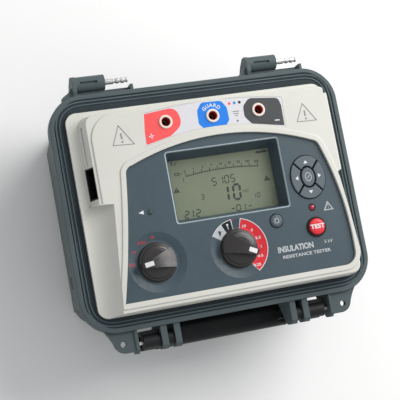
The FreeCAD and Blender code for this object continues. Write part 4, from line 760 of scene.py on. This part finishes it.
def key_prints():
    """Arrows, the enter sign, the backlight sign and the word on the test button."""
    x, y = centre("key_enter")
    tall, wide = 15.6, 12.4
    arrows = {
        "up": (0, tall, 0), "down": (0, -tall, math.pi),
        "left": (-wide, 0, math.pi / 2), "right": (wide, 0, -math.pi / 2),
    }
    shape = [(-2.3, -1.3), (2.3, -1.3), (0, 1.8)]
    for name, (dx, dy, turn) in arrows.items():
        top = edges("key_" + name)[1].z
        body = "key_" + name
        loop = turned_loop(shape, x + dx, y + dy, turn)
        lay(f"key_arrow_{name}", filled([loop]), level(top), inks["white"], body, thick=0.05)
    top = edges("key_enter")[1].z
    sign = [
        ellipse_ring(x, y, 3.6, 4.6), ellipse_ring(x, y, 2.9, 3.9),
        bar(x - 1.5, y - 1.4, x + 1.5, y + 1.4, 0.7),
    ]
    lay("key_enter_sign", filled(sign), level(top), inks["grey"], "key_enter", thick=0.05)
    x, y = centre("backlight_button")
    top = edges("backlight_button")[1].z
    rays = [disc(x, y, 2.5), disc(x, y, 1.8)]
    for n in range(8):
        turn = math.radians(45 * n)
        c, s = math.cos(turn), math.sin(turn)
        rays.append(bar(x + 3.1 * c, y + 3.1 * s, x + 4.2 * c, y + 4.2 * s, 0.45))
    face = crowned(x, y, top, 4.1)
    lay("backlight_sign", filled(rays), face, inks["grey"], "backlight_button", longest=0.8)
    x, y = centre("test_button")
    top = edges("test_button")[1].z
    face = crowned(x, y, top, 5.2)
    word = lettering("TEST", x, y, 4.2, bold=0.2, wide=1.16)
    lay("test_word", word, face, inks["white"], "test_button", thick=0.1, longest=1.0)


key_prints()


# ---------------------------------------------------------------- dark rings as painted shadow under the knobs, and one round the warning lamp
def ring_solid(name, x, y, profile, finish, slot, body="base", count=96):
    """A closed ring turned from a profile of (radius, height) points."""
    corners, faces = [], []
    size = len(profile)
    for n in range(count):
        turn = 2 * math.pi * n / count
        across, along = math.cos(turn), math.sin(turn)
        for radius, height in profile:
            corners.append(((x + radius * across) * MM, (y + radius * along) * MM, height * MM))
        for k in range(size):
            here, ahead = n * size, (n + 1) % count * size
            faces.append((here + k, here + (k + 1) % size, ahead + (k + 1) % size, ahead + k))
    mesh = bpy.data.meshes.new(name)
    mesh.from_pydata(corners, [], faces)
    mesh.materials.append(finish)
    mesh.shade_smooth()
    mesh.set_sharp_from_angle(angle=math.radians(SHARP_ANGLE))
    return attached(name, mesh, body)


def black_ring(name, middle, floor, inner, outer, lip):
    """A flat black ring, 0.4 mm proud of the face at floor, with its outer edge chamfered."""
    foot, head = floor - 0.05, floor + 0.4
    profile = [(inner, head), (outer - 0.3, head), (outer, lip), (outer, foot), (inner, foot)]
    ring_solid(name, *middle, profile, finishes["module_black"], "module_black")


DISH_BOTTOM = FASCIA_TOP - DISH_DEPTH
# black rings under both knobs: painted shadow for the dark gap round each knob's foot
black_ring("mode_knob_shadow_ring", MODE, DISH_BOTTOM, 15.2, 19.9, DISH_BOTTOM + 0.25)
black_ring("function_knob_shadow_ring", FUNCTION, DISH_BOTTOM, 15.2, 19.9, DISH_BOTTOM + 0.25)
black_ring("warning_led_surround", centre("warning_led"), FASCIA_TOP, 2.75, 4.0, FASCIA_TOP + 0.15)


# ---------------------------------------------------------------- gasket and display bevel
RIM_WIDE, RIM_DEEP, RIM_CORNER = 310, 240, 36
SEAL_TOP = edges("rim_seal")[1].z
BEVEL_X, BEVEL_Y, BEVEL_WIDE, BEVEL_DEEP, BEVEL_CORNER = 13.4, 11.5, 119.6, 70.8, 2.5
BEVEL_DROP, BEVEL_REACH = 1.3, 1.6


def rounded_box(x, y, wide, deep, radius):
    """A rectangle with rounded corners, centred on a point."""
    corners = [(-1, -1), (1, -1), (1, 1), (-1, 1)]
    return rounded([(x + wide / 2 * sx, y + deep / 2 * sy, radius) for sx, sy in corners], 8)


def panel_gasket():
    """Rubber closing the slit between the panel's flange and the case's mouth."""
    loops = [rounded_box(0, -1.5, 281.9, 211.9, 17), rounded_box(0, -1.75, 276.5, 206.4, 11)]
    face = level(SEAL_TOP + 0.2)
    lay("panel_gasket", filled(loops), face, finishes["seal_rubber"], thick=0, sunk=4.2)


def bevel_height(x, y):
    """The slanted face round the display recess, by distance out from its inner edge."""
    across = abs(x - BEVEL_X) - BEVEL_WIDE / 2 + BEVEL_CORNER
    along = abs(y - BEVEL_Y) - BEVEL_DEEP / 2 + BEVEL_CORNER
    away = math.hypot(max(across, 0), max(along, 0)) + min(max(across, along), 0) - BEVEL_CORNER
    return FASCIA_TOP - BEVEL_DROP + BEVEL_DROP * min(1.0, max(0.0, away / BEVEL_REACH))


def display_bevel():
    """A pale strip on the slant round the display recess: painted highlight where the slant catches the
    light.
    """
    loops = [
        rounded_box(BEVEL_X, BEVEL_Y, BEVEL_WIDE + 3.1, BEVEL_DEEP + 3.1, 3.9),
        rounded_box(BEVEL_X, BEVEL_Y, BEVEL_WIDE + 0.2, BEVEL_DEEP + 0.2, 2.6),
    ]
    lay("display_bevel", filled(loops), bevel_height, finishes["bevel"], thick=0.06)


def seal_beads():
    """Two raised beads round the top of the rim seal, coloured paler than the seal as a painted highlight
    along each ridge.
    """
    for name, inset, wide in (("outer", 6.2, 1.5), ("inner", 10.0, 1.1)):
        loops = []
        for step in (inset, inset + wide):
            loops.append(rounded_box(0, 0, RIM_WIDE - step * 2, RIM_DEEP - step * 2, RIM_CORNER - step))
        lay(f"seal_bead_{name}", filled(loops), level(SEAL_TOP), finishes["bead"], thick=0.7)


panel_gasket()
seal_beads()
display_bevel()


# ---------------------------------------------------------------- raised marks on the panel moulding
def panel_marks():
    """A moulded triangle each side of the sockets, and a dark line on the left block's slanted side: painted
    shade of a groove.
    """
    hood = edges("panel_bezel")[1].z - 1.0
    for name, corners in (
        ("left", [(-98.2, 61.3), (-75.9, 60.3), (-89.5, 81.4)]),
        ("right", [(98.2, 60.2), (120.6, 59.4), (107.8, 79.3)]),
    ):
        loops = outline_of(corners, 0.5)
        middle_x = sum(c[0] for c in corners) / 3
        middle_y = sum(c[1] for c in corners) / 3
        loops.append(bar(middle_x - 0.4, middle_y + 5.0, middle_x, middle_y - 0.8, 1.3))
        loops.append(disc(middle_x, middle_y - 3.6, 0.95, 20))
        triangle, mark = filled(loops), finishes["panel_mark"]
        lay(f"panel_triangle_{name}", triangle, level(hood), mark, thick=0.35)
    # a thin dark strip on the slanted side, with a hooked end: painted shade standing for a groove
    line = filled([bar(0, -19, 0, 19, 0.9), disc(0.2, 18.6, 1.5, 20)])
    groove_shade = lay("panel_side_groove_shade", line, level(0), finishes["panel_mark"], thick=0.12)
    lean = Matrix.Rotation(math.radians(-69.2), 4, "Y")
    groove_shade.data.transform(Matrix.Translation((-0.12485, 0.065, 0.1252)) @ lean)


panel_marks()


# ---------------------------------------------------------------- floor, light and camera
def floor_finish():
    graph = Graph("floor_finish")
    broad = graph.span(graph.noise(2, 2), 0.3, 0.7, 0.0, 1.0)
    base = graph.mix(broad, (0.92, 0.92, 0.92, 1), (0.94, 0.94, 0.94, 1))
    return graph.put(Base_Color=base, Roughness=0.9, Specular_IOR_Level=0.1)


def pale_floor(half):
    """A square floor at the object's feet, reaching half metres each way."""
    mesh = bpy.data.meshes.new("floor")
    corners = [(-half, -half, 0), (half, -half, 0), (half, half, 0), (-half, half, 0)]
    mesh.from_pydata(corners, [], [(0, 1, 2, 3)])
    mesh.materials.append(floor_finish())
    floor = bpy.data.objects.new("floor", mesh)
    scene.collection.objects.link(floor)


pale_floor(4.0)


def area_light(name, place, target, size, power, colour=(1, 1, 1)):
    data = bpy.data.lights.new(name, "AREA")
    data.shape = "DISK"
    data.size = size
    data.energy = power
    data.color = colour
    lamp = bpy.data.objects.new(name, data)
    lamp.location = place
    towards = Vector(target) - Vector(place)
    lamp.rotation_euler = towards.to_track_quat("-Z", "Y").to_euler()
    scene.collection.objects.link(lamp)


area_light("key_light", (1.12, 0.68, 0.98), (0, 0, 0.1), 1.5, 29, (1.0, 0.99, 0.97))
world = bpy.data.worlds.new("soft_room")
scene.world = world
world.use_nodes = True
backdrop = world.node_tree.nodes["Background"]
backdrop.inputs["Color"].default_value = (0.98, 0.99, 1.0, 1.0)
backdrop.inputs["Strength"].default_value = 0.55
scene.view_settings.view_transform = "Standard"

camera_data = bpy.data.cameras.new("camera")
camera_data.lens = 99
camera_data.sensor_width = 36
camera_data.clip_end = 20
camera = bpy.data.objects.new("camera", camera_data)
scene.collection.objects.link(camera)
to_camera = (
    Matrix.Rotation(math.radians(10.585), 3, "Z")
    @ Matrix.Rotation(math.radians(-6.065), 3, "X")
    @ Matrix.Rotation(math.radians(16.741), 3, "Y")
)
camera_place = Matrix.Translation((-0.3351, -0.1208, 1.1811))
camera.matrix_world = camera_place @ to_camera.transposed().to_4x4()
scene.camera = camera
